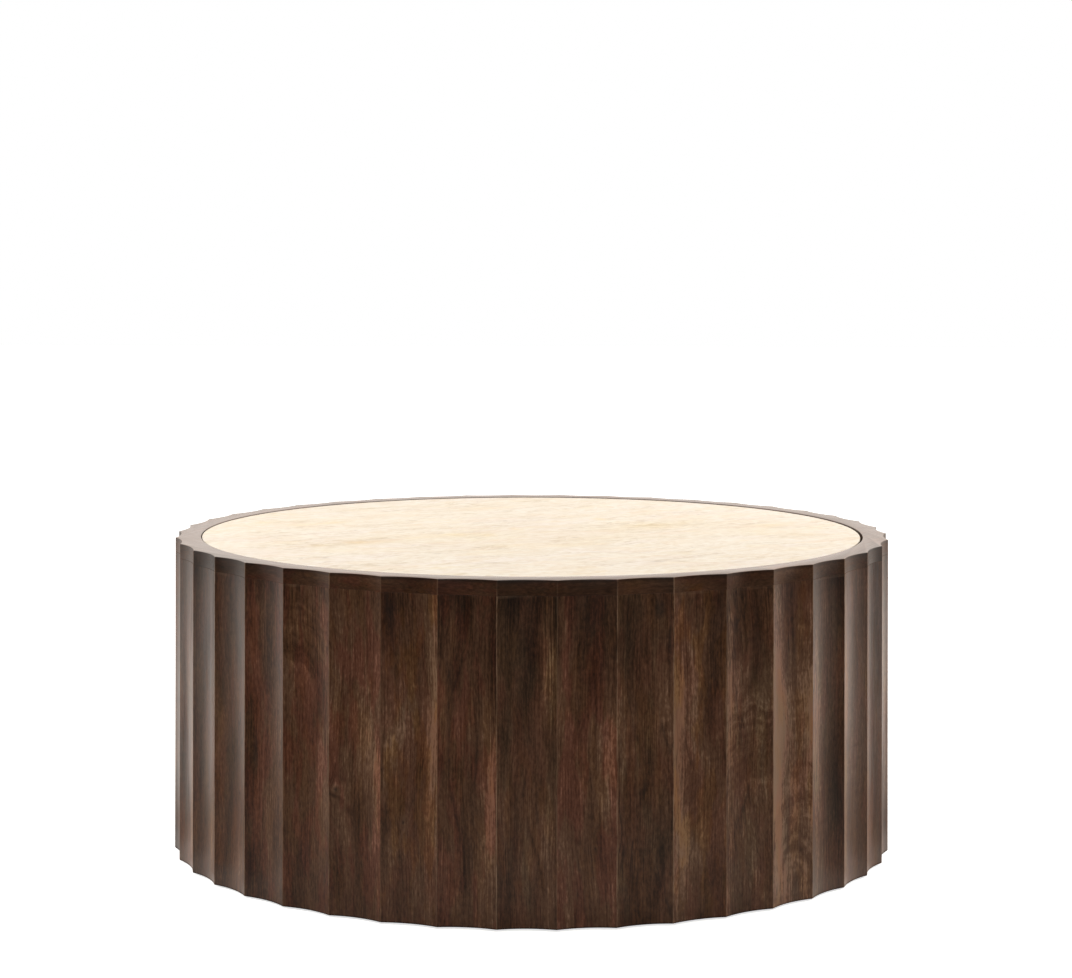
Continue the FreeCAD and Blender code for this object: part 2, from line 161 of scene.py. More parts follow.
def larger(first, second, clamp=False):
    return maths("MAXIMUM", first, second, clamp=clamp)


def vectorMaths(operation, first, second=(0, 0, 0), output="Vector"):
    made = addNode("ShaderNodeVectorMath", operation=operation)
    feed(made.inputs[0], first)
    feed(made.inputs[1], second)
    return made.outputs[output]


def moved(vector, way):
    return vectorMaths("ADD", vector, way)


# Noise over a vector first stretched by scales.
def noiseAt(vector, scales, detail=3.0, roughness=0.5, distortion=0.0):
    stretched = vectorMaths("MULTIPLY", vector, scales)
    made = addNode("ShaderNodeTexNoise", {"Vector": stretched, "Scale": 1.0, "Detail": detail,
                                          "Roughness": roughness, "Distortion": distortion})
    return made.outputs[0]


def limits(value, low, high, newLow=0.0, newHigh=1.0):
    feeds = {"Value": value, "From Min": low, "From Max": high, "To Min": newLow, "To Max": newHigh}
    return addNode("ShaderNodeMapRange", feeds, interpolation_type="SMOOTHSTEP").outputs[0]


def ramp(value, stops):
    made = addNode("ShaderNodeValToRGB", {"Fac": value})
    elements = made.color_ramp.elements
    while len(elements) < len(stops):
        elements.new(0.5)
    for element, (position, color) in zip(elements, stops):
        element.position = position
        element.color = (*color, 1.0)
    return made.outputs[0]


def mixColor(factor, first, second, blend="MIX"):
    made = addNode("ShaderNodeMix", data_type="RGBA", blend_type=blend)
    feed(made.inputs[0], factor)
    feed(made.inputs[6], first)
    feed(made.inputs[7], second)
    return made.outputs[2]


def attribute(name, output="Vector"):
    return addNode("ShaderNodeAttribute", attribute_name=name).outputs[output]


def parts(vector):
    return addNode("ShaderNodeSeparateXYZ", {"Vector": vector}).outputs


def joined(x=0.0, y=0.0, z=0.0):
    return addNode("ShaderNodeCombineXYZ", {"X": x, "Y": y, "Z": z}).outputs[0]


def objectPlace():
    return addNode("ShaderNodeTexCoord").outputs["Object"]


# How far a surface faces up: 1 on a flat top, 0 on an upright side.
def facingUp():
    return parts(addNode("ShaderNodeNewGeometry").outputs["True Normal"])["Z"]


def newGroup(name, vectors, values, results):
    group = filling["tree"] = bpy.data.node_groups.new(name, "ShaderNodeTree")
    for label in vectors:
        group.interface.new_socket(label, in_out="INPUT", socket_type="NodeSocketVector")
    for label in values:
        group.interface.new_socket(label, in_out="INPUT", socket_type="NodeSocketFloat")
    for label in results:
        group.interface.new_socket(label, in_out="OUTPUT", socket_type="NodeSocketFloat")
    return group, group.nodes.new("NodeGroupInput").outputs, group.nodes.new("NodeGroupOutput").inputs


def useGroup(group, feeds):
    return addNode("ShaderNodeGroup", feeds, node_tree=group).outputs


def newMaterial(name):
    material = bpy.data.materials.new(name)
    material.use_nodes = True
    filling["tree"] = material.node_tree
    return material, material.node_tree.nodes["Principled BSDF"].inputs


def dressShader(shader, color, roughness, specular=0.5, normal=None):
    feed(shader["Base Color"], color)
    feed(shader["Roughness"], roughness)
    shader["Specular IOR Level"].default_value = specular
    if normal is not None:
        feed(shader["Normal"], normal)


def bump(height, strength, distance, normal=None):
    made = addNode("ShaderNodeBump", {"Height": height, "Strength": strength, "Distance": distance})
    if normal is not None:
        feed(made.inputs["Normal"], normal)
    return made.outputs[0]


# A 0 to 1 value turned into one that swings size to each side of 0.
def swing(value, size):
    return times(minus(value, 0.5), 2 * size)


# Wood grain. Board is a board's own place in metres: x through it, y across its face, z along the grain.
def grainGroup():
    look = {
        "wander": (6, 6, 3.5),  # how often in a metre: through the board, across it and along it
        "wanderSize": 0.016,    # how far, in metres
        "ripple": (40, 40, 13),
        "rippleSize": 0.0016,
        "swell": (9, 9, 7),
        "swellSize": 0.016,
        "clouds": (26, 22, 6),
        "patches": (62, 55, 11),
        "rings": (150, 1, 150),
        "fibres": (620, 620, 17),
        "mottle": (420, 420, 150),
        "pores": (1300, 1300, 70),
        "veins": (34, 30, 4),
        "veinPatches": (18, 16, 7),
        "curls": (26, 18, 95),
        "curlPatches": (9, 9, 6),
        "archEdge": (55, 75, 42),
        "archRagged": 0.11,
        "archSlope": (-0.12, 0.02),
        "archShown": (0.11, 0.05),
        "tints": (("Gold", 3.1, (58, 52, 14), 0.47, 0.6), ("Rose", 7.7, (52, 46, 12), 0.44, 0.58),
                  ("Olive", 11.3, (48, 42, 11), 0.45, 0.6)),
    }
    group, given, out = newGroup(
        "woodGrain", vectors=("Board", "Knot", "Heart", "Arch"), values=("Seed", "Curl"),
        results=("Clouds", "Rings", "Fibres", "Mottle", "Pores", "Gold", "Rose", "Olive", "Minerals",
                 "Figure", "KnotDark", "Across", "Patches"))
    place = parts(given["Board"])
    knot = parts(given["Knot"])
    heart = parts(given["Heart"])
    seed = given["Seed"]
    # Grain parts round a knot: Knot holds where it is across and along the board, and its radius.
    across = minus(place["Y"], knot["X"])
    along = minus(place["Z"], knot["Y"])
    size = larger(knot["Z"], 0.0001)
    aside = maths("ABSOLUTE", maths("DIVIDE", across, size))
    above = maths("ABSOLUTE", maths("DIVIDE", along, times(size, 1.5)))
    near = plus(maths("POWER", aside, 2.0), maths("POWER", above, 2.0))
    pull = maths("EXPONENT", times(near, -0.09))
    feed(out["KnotDark"], maths("EXPONENT", times(near, -1.2)))
    parted = times(times(across, pull), -0.85)
    # The grain also wanders slowly as it runs along the board.
    shift = joined(times(seed, 1.7), times(seed, 2.9), times(seed, 5.3))
    board = moved(given["Board"], shift)
    wander = swing(noiseAt(board, look["wander"], 2.0), look["wanderSize"])
    ripple = swing(noiseAt(board, look["ripple"], 2.0), look["rippleSize"])
    push = plus(wander, plus(ripple, parted))
    small = plus(times(ripple, 1.6), parted)
    feed(out["Across"], plus(place["Y"], small))
    grain = moved(board, joined(ripple, push))
    feed(out["Clouds"], noiseAt(grain, look["clouds"], 3.0, 0.5))
    feed(out["Patches"], noiseAt(grain, look["patches"], 2.0, 0.5))
    # Growth rings lie round the heart of the tree: Heart holds how far it is aside of and below the face,
    # and how much deeper it gets along the board, which makes the arches of a flat-sawn board.
    aside = minus(plus(place["Y"], push), heart["X"])
    swell = swing(noiseAt(board, look["swell"], 3.0, 0.55), look["swellSize"])
    below = plus(maths("MULTIPLY_ADD", place["Z"], heart["Z"], heart["Y"]), swell)
    # Arch holds where the heart sinks away fast, how far, and how much stronger the rings show there.
    arch = parts(given["Arch"])
    climb = minus(place["Z"], arch["X"])
    ragged = swing(noiseAt(board, look["archEdge"], 3.0, 0.6), look["archRagged"])
    sunk = plus(limits(climb, *look["archSlope"]), ragged)
    below = maths("MULTIPLY_ADD", sunk, arch["Y"], below)
    strong = limits(maths("ABSOLUTE", plus(climb, 0.05)), *look["archShown"])
    strong = times(strong, arch["Z"])
    reach = vectorMaths("LENGTH", joined(aside, below), output="Value")
    layer = joined(reach, times(seed, 3.3), times(place["Z"], 0.02))
    rings = noiseAt(layer, look["rings"], 5.0, 0.62)
    feed(out["Rings"], maths("MULTIPLY_ADD", swing(rings, 0.5), strong, rings))
    feed(out["Fibres"], noiseAt(grain, look["fibres"], 2.0, 0.55))
    feed(out["Mottle"], noiseAt(grain, look["mottle"], 2.0, 0.6))
    dash = noiseAt(grain, look["pores"], 1.0, 0.4)
    feed(out["Pores"], limits(dash, 0.58, 0.7))
    for name, offset, scales, low, high in look["tints"]:
        apart = moved(grain, (offset, offset, offset))
        feed(out[name], limits(noiseAt(apart, scales, 3.0, 0.6), low, high))
    # Thin dark mineral lines run where a slow noise crosses its middle, in patches only.
    vein = noiseAt(moved(grain, (17.9, 5.1, 2.3)), look["veins"], 3.0, 0.55)
    line = limits(maths("ABSOLUTE", minus(vein, 0.5)), 0.0, 0.02, 1.0, 0.0)
    patch = limits(noiseAt(board, look["veinPatches"], 2.0), 0.48, 0.62)
    soft = limits(vein, 0.56, 0.72)
    feed(out["Minerals"], larger(times(line, patch), times(soft, 0.6)))
    # Curly figure: soft bars across the grain, in patches.
    bars = noiseAt(board, look["curls"], 2.0, 0.5, 0.9)
    curly = limits(noiseAt(board, look["curlPatches"], 1.0), 0.44, 0.6)
    feed(out["Figure"], times(times(swing(bars, 0.5), curly), given["Curl"]))
    return group


# One dark or light streak: Place holds its middle across and along the board and its lean,
# Size its half width, its half length and how dark it is.
def streakGroup():
    group, given, out = newGroup("woodStreak", vectors=("Place", "Size"),
                                 values=("Across", "Along", "Texture"), results=("Dark",))
    smallest = 0.0005
    middle = parts(given["Place"])
    size = parts(given["Size"])
    along = minus(given["Along"], middle["Y"])
    lean = maths("MULTIPLY_ADD", along, middle["Z"], middle["X"])
    across = maths("DIVIDE", minus(given["Across"], lean), larger(size["X"], smallest))
    along = maths("DIVIDE", along, larger(size["Y"], smallest))
    spread = maths("MULTIPLY_ADD", across, across, times(along, along))
    core = maths("EXPONENT", times(spread, -1.0))
    fibrous = limits(given["Texture"], 0.3, 0.7, 0.7, 1.25)
    feed(out["Dark"], times(times(core, size["Z"]), fibrous))
    return group


# Dark brown stained wood under a satin lacquer. Each board carries its own tone, traits, knot and streaks.
def stainedWood(grain, streak):
    look = {
        "colors": ((0.0, (0.015, 0.0084, 0.0054)), (0.25, (0.041, 0.0193, 0.0105)),
                   (0.5, (0.087, 0.0402, 0.0214)), (0.75, (0.143, 0.071, 0.0395)),
                   (1.0, (0.295, 0.168, 0.102))),
        "clouds": 0.44,         # how far each kind of marking swings the lightness
        "patches": 0.22,
        "rings": 0.22,
        "fibres": 0.37,
        "mottle": 0.34,
        "paintedMidLight": 0.11,          # painted light: gained halfway up the staves, where more light falls on them
        "neck": 0.1,            # painted shade: lost right under the ring
        "gold": (1.12, 1.03, 0.8),
        "rose": (1.13, 0.9, 0.95),
        "olive": (0.88, 1.0, 1.0),
        "mineral": (0.012, 0.0085, 0.007),
        "pore": (0.009, 0.005, 0.0036),
        "wearAndGlint": (0.36, 0.225, 0.14),
        "seamBand": (seamHeight - 0.0034, seamHeight - 0.0024),
        "paintedRimShadeBand": (tableTop - 0.0055, tableTop - 0.001),
        "paintedFootShadeBand": (staveBottom + 0.0004, staveBottom + 0.0028),
        "neckBand": (seamHeight - 0.034, seamHeight - 0.002),
        "paintedMidLightRise": (0.0, 0.16),
        "paintedMidLightFall": (0.33, 0.23),
        "ridgeLine": (0.0002, 0.0011),
        "dashes": (8, 8, 26),   # breaks in the rubbed and painted-highlight lines
        "ridgeShown": (0.34, 0.64),
        "seamShown": (0.5, 0.72),
        "seamWear": 0.22,
        "seamMatt": (0.0002, 0.0005, 0.5, 0.0),
        "flatFrom": (0.6, 0.9),  # how far a face looks up where it counts as the ring's flat top
        "roughness": (0.28, 0.37),
        "mattRoughness": 0.6,   # added where there is no gloss at all
        "specular": 0.21,
        "coat": (0.12, 0.84),   # on the upright faces and on the ring's flat top
        "paintedTopSheen": 0.14,        # painted sheen that lightens the ring's flat top
        "coatRoughness": 0.2,
        "dull": 1.3,            # how much gloss a dark streak loses
        "paintedGlow": -4.0,           # how golden a light streak is: a warm painted highlight
        "fibreBump": (0.08, 0.0004),
        "figureBump": (0.3, 0.0012),
    }
    material, shader = newMaterial("stainedWood")
    tone = parts(attribute("boardTone"))
    trait = parts(attribute("boardTraits"))
    rubAndGlint = parts(attribute("ridgeRub"))
    seed = attribute("boardSeed", "Fac")
    place = attribute("boardPlace")
    wood = useGroup(grain, {
        "Board": place, "Seed": seed, "Knot": attribute("boardKnot"),
        "Heart": attribute("boardHeart"), "Arch": attribute("boardArch"), "Curl": trait["X"]})
    marks = swing(wood["Rings"], look["rings"])
    for name in ("Fibres", "Mottle", "Clouds", "Patches"):
        marks = plus(marks, swing(wood[name], look[name.lower()]))
    lightness = maths("MULTIPLY_ADD", marks, rubAndGlint["Z"], wood["Figure"])
    drift = vectorMaths("DOT_PRODUCT", attribute("boardDrift"), place, "Value")
    lightness = plus(lightness, drift)
    at = parts(place)
    paintedGlow = 0.0
    dull = 0.0
    for number in range(1, streakSlots + 1):
        dark = useGroup(streak, {
            "Across": wood["Across"], "Along": at["Z"], "Texture": wood["Fibres"],
            "Place": attribute("streakPlace%d" % number),
            "Size": attribute("streakSize%d" % number)})["Dark"]
        lightness = minus(lightness, dark)
        paintedGlow = larger(paintedGlow, times(dark, look["paintedGlow"]))
        dull = larger(dull, dark)
    level = parts(objectPlace())["Z"]
    # Painted light: the staves are lighter halfway up, where more light falls on them.
    paintedMidLight = times(limits(level, *look["paintedMidLightRise"]), limits(level, *look["paintedMidLightFall"]))
    lightness = maths("MULTIPLY_ADD", paintedMidLight, look["paintedMidLight"], lightness)
    # Painted shade: the staves are darker right under the ring.
    lightness = minus(lightness, times(limits(at["Z"], *look["neckBand"]), look["neck"]))
    facing = facingUp()
    # Painted sheen: the ring's flat top is lighter in colour.
    lightness = maths("MULTIPLY_ADD", limits(facing, *look["flatFrom"]), look["paintedTopSheen"], lightness)
    lightness = plus(plus(lightness, tone["X"]), 0.5, clamp=True)
    color = ramp(lightness, look["colors"])
    # Painted highlight: light streaks are tinted gold.
    paintedGlow = times(paintedGlow, 0.25, clamp=True)
    color = mixColor(paintedGlow, color, look["gold"], "MULTIPLY")
    for name, amount in (("Gold", tone["Y"]), ("Rose", tone["Z"]), ("Olive", trait["Z"])):
        shown = times(wood[name], amount, clamp=True)
        color = mixColor(shown, color, look[name.lower()], "MULTIPLY")
    mineral = times(wood["Minerals"], trait["Y"], clamp=True)
    # Painted shade: a dark line round the drum, right under the ring's upper edge.
    paintedRimShade = times(limits(level, *look["paintedRimShadeBand"]), limits(facing, 0.35, 0.6, 1.0, 0.0))
    # Painted shade: a thin dark line along the foot of the staves, where they stand on the floor.
    paintedFootShade = limits(level, *look["paintedFootShadeBand"], 1.0, 0.0)
    # Ridges are painted lighter along a thin broken line: partly rubbed wood, partly a painted highlight
    # where the ridge catches the light. The seam under the ring is rubbed lighter too.
    # The ridge attribute holds the distance from a ridge, how far that ridge is rubbed and painted light, and
    # the contrast of the board.
    dashes = noiseAt(moved(place, seed), look["dashes"], 4.0, 0.7)
    wornAndGlint = times(limits(rubAndGlint["X"], *look["ridgeLine"], 1.0, 0.0), rubAndGlint["Y"])
    wornAndGlint = times(wornAndGlint, limits(dashes, *look["ridgeShown"]))
    seam = times(limits(at["Z"], *look["seamBand"]), limits(dashes, *look["seamShown"]))
    wornAndGlint = larger(wornAndGlint, times(seam, look["seamWear"]), clamp=True)
    layers = ((mineral, 0.8, "mineral"), (wood["KnotDark"], 0.75, "mineral"), (wood["Pores"], 0.18, "pore"),
              (paintedRimShade, 0.55, "mineral"), (paintedFootShade, 0.7, "mineral"), (wornAndGlint, 0.75, "wearAndGlint"))
    for mask, amount, tint in layers:
        color = mixColor(times(mask, amount), color, look[tint])
    # The seam, the foot and the dark streaks hold little gloss.
    matt = maths("ABSOLUTE", minus(level, seamHeight))
    matt = larger(limits(matt, *look["seamMatt"]), paintedFootShade)
    gloss = minus(1.0, times(dull, look["dull"]), clamp=True)
    gloss = times(minus(1.0, times(matt, 0.9)), gloss)
    satin = limits(wood["Fibres"], 0.3, 0.7, *look["roughness"])
    matt = times(minus(1.0, gloss), look["mattRoughness"])
    roughness = plus(satin, matt, clamp=True)
    coat = limits(facing, *look["flatFrom"], *look["coat"])
    feed(shader["Coat Weight"], times(coat, gloss))
    shader["Coat Roughness"].default_value = look["coatRoughness"]
    height = minus(times(wood["Fibres"], 0.4), wood["Pores"])
    surface = bump(height, *look["fibreBump"])
    surface = bump(wood["Figure"], *look["figureBump"], surface)
    dressShader(shader, color, roughness, look["specular"], surface)
    return material


# Marks of the stone as the photograph shows them: the middle, half length and half width in mm,
# the strength, and the heading in degrees where it isn't that of most marks.
stoneMarks = {
    "veins": (
        (-195, -75, 44, 6, 0.34, 38), (-218, 273, 46, 6, 0.3, 31), (-247, -136, 38, 5, 0.26, 30),
        (68, 22, 55, 4, 0.22, 13), (160, 83, 41, 6, 0.34, 12), (190, -240, 54, 5, 0.3, 41),
        (-92, -302, 25, 5, 0.26, 42), (53, -205, 27, 4, 0.24, 1), (-40, -243, 33, 4, 0.2, 25),
        (-39, 64, 33, 5, 0.26, 39), (70, 301, 31, 6, 0.22, 50), (283, 96, 59, 5, 0.24, 46),
        (49, -83, 34, 5, 0.22, 20), (-262, -136, 10, 5, 0.3, 21), (-21, 172, 24, 5, 0.22, 22),
        (-150, -303, 12, 4, 0.3, 17), (-205, -222, 15, 4, 0.22, -14), (150, 6, 49, 4, 0.18, 10),
        (-326, 106, 19, 6, 0.22, 44), (-336, -41, 14, 4, 0.2, 1), (282, -105, 33, 4, 0.16, 28),
        (-138, 41, 28, 4, 0.16, 27), (59, -336, 20, 4, 0.2, 30),
    ),
    "flecks": (
        (-241, -255, 4.4, 3.6, 0.42), (151, -278, 7.6, 4, 0.46), (223, -203, 3.8, 3.4, 0.42),
        (213, 61, 2.2, 3, 0.5), (301, -44, 2.2, 3, 0.5), (331, 176, 5.1, 3.6, 0.36),
        (79, -195, 7.6, 3.6, 0.26),
    ),
    "ochres": (
        (-214, -111, 16, 14, 0.8), (88, 150, 8, 14, 0.9), (151, 83, 30, 12, 0.8), (-22, 37, 8, 14, 0.5),
        (-94, -28, 14, 16, 0.7), (-55, -28, 13, 14, 0.6), (-258, 101, 15, 12, 0.6),
        (-352, 100, 13, 12, 0.6), (-259, -141, 13, 10, 0.6), (35, -128, 25, 14, 0.5), (201, 18, 23, 8, 0.5),
        (308, 84, 20, 12, 0.5), (-102, -342, 18, 10, 0.5),
    ),
    "sands": (
        (-10, -10, 280, 120, 0.2), (-205, -106, 100, 34, 0.45, 40), (20, -93, 130, 60, 0.32, 30),
        (160, 75, 90, 40, 0.45, 38), (320, 80, 80, 40, 0.4, 38), (-300, 90, 80, 45, 0.45, 38),
        (-90, 290, 100, 40, 0.3, 36), (-80, -30, 60, 35, 0.3, 32), (300, 0, 50, 50, 0.26, 36),
    ),
}


# A soft patch drawn out along its heading, the same all the way down through the stone.
def stoneMark(place, x, y, length, width, strength, heading=24):
    near = addNode("ShaderNodeMapping", {"Vector": place}, vector_type="TEXTURE")
    near.inputs["Location"].default_value = (x * mm, y * mm, 0)
    near.inputs["Rotation"].default_value = (0, 0, math.radians(heading))
    near.inputs["Scale"].default_value = (length * mm, width * mm, 1000)
    spread = vectorMaths("DOT_PRODUCT", near.outputs[0], near.outputs[0], "Value")
    soft = maths("EXPONENT", times(spread, -1.0))
    return times(soft, strength)


# Cream travertine, filled and honed: fine mottling, short veins along its bedding, a few dark flecks.
def travertine():
    look = {
        "veinTurn": math.radians(33),
        "ivory": (0.964, 0.884, 0.764),
        "cream": (0.864, 0.75, 0.598),
        "vein": (0.54, 0.405, 0.235),
        "fleck": (0.33, 0.24, 0.15),
        "ochre": (0.985, 0.93, 0.77),
        "sand": (0.958, 0.91, 0.79),
        "peach": (1.0, 0.955, 0.9),
        "violet": (0.985, 0.97, 1.02),
        "sway": (5, 8, 4),      # how often in a metre: along the bedding, across it and down
        "swaySize": 0.04,       # how far, in metres
        "ripple": (38, 60, 30),
        "rippleSize": 0.006,
        "clouds": (14, 32, 16),
        "cloudSize": 0.8,
        "mottle": (70, 130, 85),
        "mottleSize": 2.0,
        "veins": (10, 40, 18),
        "veinPatches": (9, 20, 9),
        "veinBreaks": (45, 80, 45),
        "flecks": (70, 120, 60),
        "tints": (("peach", 4.1, (12, 26, 12), 0.5, 0.64, 0.5), ("violet", 9.3, (9, 19, 11), 0.48, 0.62, 0.5),
                  ("ochre", 13.7, (16, 34, 18), 0.52, 0.66, 0.26)),
        "roughness": (0.5, 0.62),
        "specular": 0.3,
        "veinStrength": 0.42,
        "fleckStrength": 0.4,
    }
    material, shader = newMaterial("travertine")
    stone = objectPlace()
    turned = addNode("ShaderNodeMapping", {"Vector": stone})
    turned.inputs["Rotation"].default_value = (0, 0, -look["veinTurn"])
    place = turned.outputs[0]
    sway = noiseAt(place, look["sway"], 3.0)
    ripple = noiseAt(place, look["ripple"], 3.0)
    push = plus(swing(sway, look["swaySize"]), swing(ripple, look["rippleSize"]))
    bed = moved(place, joined(y=push))
    clouds = noiseAt(bed, look["clouds"], 4.0, 0.62)
    mottle = noiseAt(bed, look["mottle"], 4.0, 0.66)
    light = plus(swing(clouds, look["cloudSize"]), swing(mottle, look["mottleSize"]))
    light = plus(light, 0.5, clamp=True)
    color = mixColor(light, look["cream"], look["ivory"])
    for tint, offset, scales, low, high, amount in look["tints"]:
        patch = noiseAt(moved(bed, (offset, offset, offset)), scales, 3.0, 0.6)
        shown = times(limits(patch, low, high), amount)
        color = mixColor(shown, color, look[tint], "MULTIPLY")
    ragged = moved(stone, joined(y=swing(mottle, 0.016)))
    for kind in ("ochre", "sand"):
        for mark in stoneMarks[kind + "s"]:
            color = mixColor(stoneMark(ragged, *mark), color, look[kind], "MULTIPLY")
    # Veins run where a stretched noise crosses its middle, broken up and in patches only.
    course = noiseAt(bed, look["veins"], 4.0, 0.62)
    line = limits(maths("ABSOLUTE", minus(course, 0.5)), 0.0, 0.05, 1.0, 0.0)
    region = limits(noiseAt(moved(bed, (2.9, 6.1, 1.3)), look["veinPatches"], 2.0), 0.42, 0.6)
    broken = limits(noiseAt(bed, look["veinBreaks"], 3.0, 0.6), 0.38, 0.62)
    vein = times(times(times(line, region), broken), look["veinStrength"])
    tooth = limits(mottle, 0.62, 0.38, 0.7, 1.8)
    for mark in stoneMarks["veins"]:
        vein = larger(vein, times(stoneMark(ragged, *mark), tooth))
    color = mixColor(vein, color, look["vein"])
    specks = limits(noiseAt(bed, look["flecks"], 2.0, 0.5), 0.66, 0.76)
    flecks = times(times(specks, region), look["fleckStrength"])
    for mark in stoneMarks["flecks"]:
        flecks = larger(flecks, stoneMark(ragged, *mark))
    color = mixColor(flecks, color, look["fleck"])
    roughness = limits(mottle, 0.3, 0.7, *look["roughness"])
    surface = bump(minus(times(mottle, 0.15), flecks), 0.3, 0.0006)
    dressShader(shader, color, roughness, look["specular"], surface)
    return material


# Birch plywood: pale faces with long grain, and the thin plies as lines round every edge.
def plywoodFinish():
    look = {
        "ply": 0.0015,
        "grain": (9, 130, 60),
        "faces": ((0.3, (0.5, 0.335, 0.19)), (0.55, (0.61, 0.435, 0.27)), (0.8, (0.68, 0.52, 0.35))),
        "plies": ((0.36, 0.225, 0.12), (0.6, 0.43, 0.27)),
        "roughness": (0.62, 0.78),
    }
    material, shader = newMaterial("plywood")
    place = objectPlace()
    long = noiseAt(place, look["grain"], 4.0, 0.6, 0.4)
    face = ramp(long, look["faces"])
    ply = maths("PINGPONG", parts(place)["Z"], look["ply"])
    side = maths("GREATER_THAN", ply, look["ply"] / 2)
    isEdge = maths("LESS_THAN", maths("ABSOLUTE", facingUp()), 0.5)
    plies = mixColor(side, *look["plies"])
    roughness = limits(long, 0.3, 0.7, *look["roughness"])
    dressShader(shader, mixColor(isEdge, face, plies), roughness, normal=bump(long, 0.15, 0.0004))
    return material


# Planed softwood rails and posts, with resinous growth lines.
def bareTimber():
    look = {
        "lines": (70, 70, 40),
        "fibres": (400, 400, 200),
        "colors": ((0.3, (0.4, 0.25, 0.125)), (0.5, (0.56, 0.38, 0.21)), (0.75, (0.64, 0.47, 0.29))),
        "roughness": (0.58, 0.72),
    }
    material, shader = newMaterial("bareTimber")
    place = objectPlace()
    lines = noiseAt(place, look["lines"], 3.0, 0.5, 0.8)
    fine = noiseAt(place, look["fibres"], 2.0)
    shade = maths("MULTIPLY_ADD", fine, 0.25, times(lines, 0.75))
    roughness = limits(fine, 0.3, 0.7, *look["roughness"])
    dressShader(shader, ramp(shade, look["colors"]), roughness, normal=bump(shade, 0.2, 0.0004))
    return material


# A moulded or metal finish with fine mottling in its colour and gloss.
def plainFinish(name, darker, lighter, roughness, metallic=0.0, size=300):
    material, shader = newMaterial(name)
    mottle = noiseAt(objectPlace(), (size, size, size), 3.0)
    shader["Metallic"].default_value = metallic
    dressShader(shader, mixColor(mottle, darker, lighter), limits(mottle, 0.3, 0.7, *roughness),
                normal=bump(mottle, 0.1, 0.0002))
    return material


# One flute is three arcs: half of a ridge, the hollow and half of the next ridge.
def fluteSizes():
    half = drum["step"] / 2
    halfChord = drum["ridgeRadius"] * math.sin(half)
    hollow = (halfChord ** 2 + drum["fluteDepth"] ** 2) / (2 * drum["fluteDepth"])
    centre = drum["ridgeRadius"] * math.cos(half) - drum["fluteDepth"] + hollow
    reach = hollow + drum["ridgeRound"]
    ridgeCentre = centre * math.cos(half) - math.sqrt(reach ** 2 - (centre * math.sin(half)) ** 2)
    lean = math.atan2(ridgeCentre * math.sin(half), centre - ridgeCentre * math.cos(half))
    return {
        "half": half,
        "centre": centre,
        "ridgeCentre": ridgeCentre,
        "lean": lean,
        "tip": ridgeCentre + drum["ridgeRound"],
        "back": drum["ridgeRadius"] * math.cos(half) - drum["staveDepth"],
    }


def spinPoint(bm, point, centre, angle, steps):
    made = bmesh.ops.spin(bm, geom=[point], cent=centre, axis=(0, 0, 1), angle=angle, steps=steps,
                          dvec=(0, 0, 0), use_merge=False, use_duplicate=False)
    return [item for item in made["geom_last"] if isinstance(item, bmesh.types.BMVert)][0]


def walkFlute(bm, point, middle, height, sizes):
    lowRidge = polar(sizes["ridgeCentre"], middle - sizes["half"], height)
    highRidge = polar(sizes["ridgeCentre"], middle + sizes["half"], height)
    point = spinPoint(bm, point, lowRidge, sizes["half"] + sizes["lean"], drum["ridgeSteps"])
    point = spinPoint(bm, point, polar(sizes["centre"], middle, height), -2 * sizes["lean"],
                      drum["hollowSteps"])
    return spinPoint(bm, point, highRidge, sizes["half"] + sizes["lean"], drum["ridgeSteps"])


def raiseFace(bm, height):
    raised = bmesh.ops.extrude_face_region(bm, geom=bm.faces[:])
    tops = [item for item in raised["geom"] if isinstance(item, bmesh.types.BMVert)]
    bmesh.ops.translate(bm, verts=tops, vec=(0, 0, height))
    bmesh.ops.recalc_face_normals(bm, faces=bm.faces)


def fillAndRaise(bm, height):
    bmesh.ops.remove_doubles(bm, verts=bm.verts, dist=drum["tiny"])
    bmesh.ops.contextual_create(bm, geom=bm.edges[:])
    raiseFace(bm, height)


def levelEdges(bm, height, chosen):
    found = []
    for edge in bm.edges:
        flat = all(abs(vert.co.z - height) < drum["tiny"] for vert in edge.verts)
        if flat and chosen((edge.verts[0].co + edge.verts[1].co) / 2):
            found.append(edge)
    return found


def easeEdges(bm, edges, width, segments):
    bmesh.ops.bevel(bm, geom=edges, offset=width, offset_type="OFFSET", segments=segments,
                    profile=0.5, affect="EDGES", material=-1, clamp_overlap=True)


hand = {
    "slip": 0.0005,             # how far a ridge strays sideways
    "depth": 0.0004,            # how far a flute strays in depth
    "wave": 0.0003,             # slow waves in a hollow
    "waveScale": (9, 7),        # how fast they follow each other round the drum and up it
    "faceFrom": 0.432,          # radius from which a point is on the fluted face, and how soon fully
    "faceOver": 0.008,
    "rubAndGlintFrom": 0.44,            # radius from which a ridge can be rubbed and painted with a highlight
    "rubAndGlintFar": 0.04,             # distance from a ridge that is given anywhere else
    "rubsAndGlints": (0.2, 0.9),
}
random.seed(42)
ridgeSlip = [random.uniform(-1, 1) * hand["slip"] for _ in range(drum["fluteCount"])]
fluteStray = [random.uniform(-1, 1) * hand["depth"] for _ in range(drum["fluteCount"])]
ridgeRub = [random.uniform(*hand["rubsAndGlints"]) for _ in range(drum["fluteCount"])]
# The ridges that the photograph shows, with how far each is rubbed and painted with a highlight.
seenRubsAndGlints = {27: 0.5, 28: 0.5, 29: 0.2, 30: 0.25, 31: 0.85, 32: 0.3, 33: 0.8, 34: 1.0, 35: 0.5, 36: 1.0,
            37: 0.8, 38: 0.9, 39: 0.8, 40: 0.8}
for ridge, amount in seenRubsAndGlints.items():
    ridgeRub[ridge] = amount


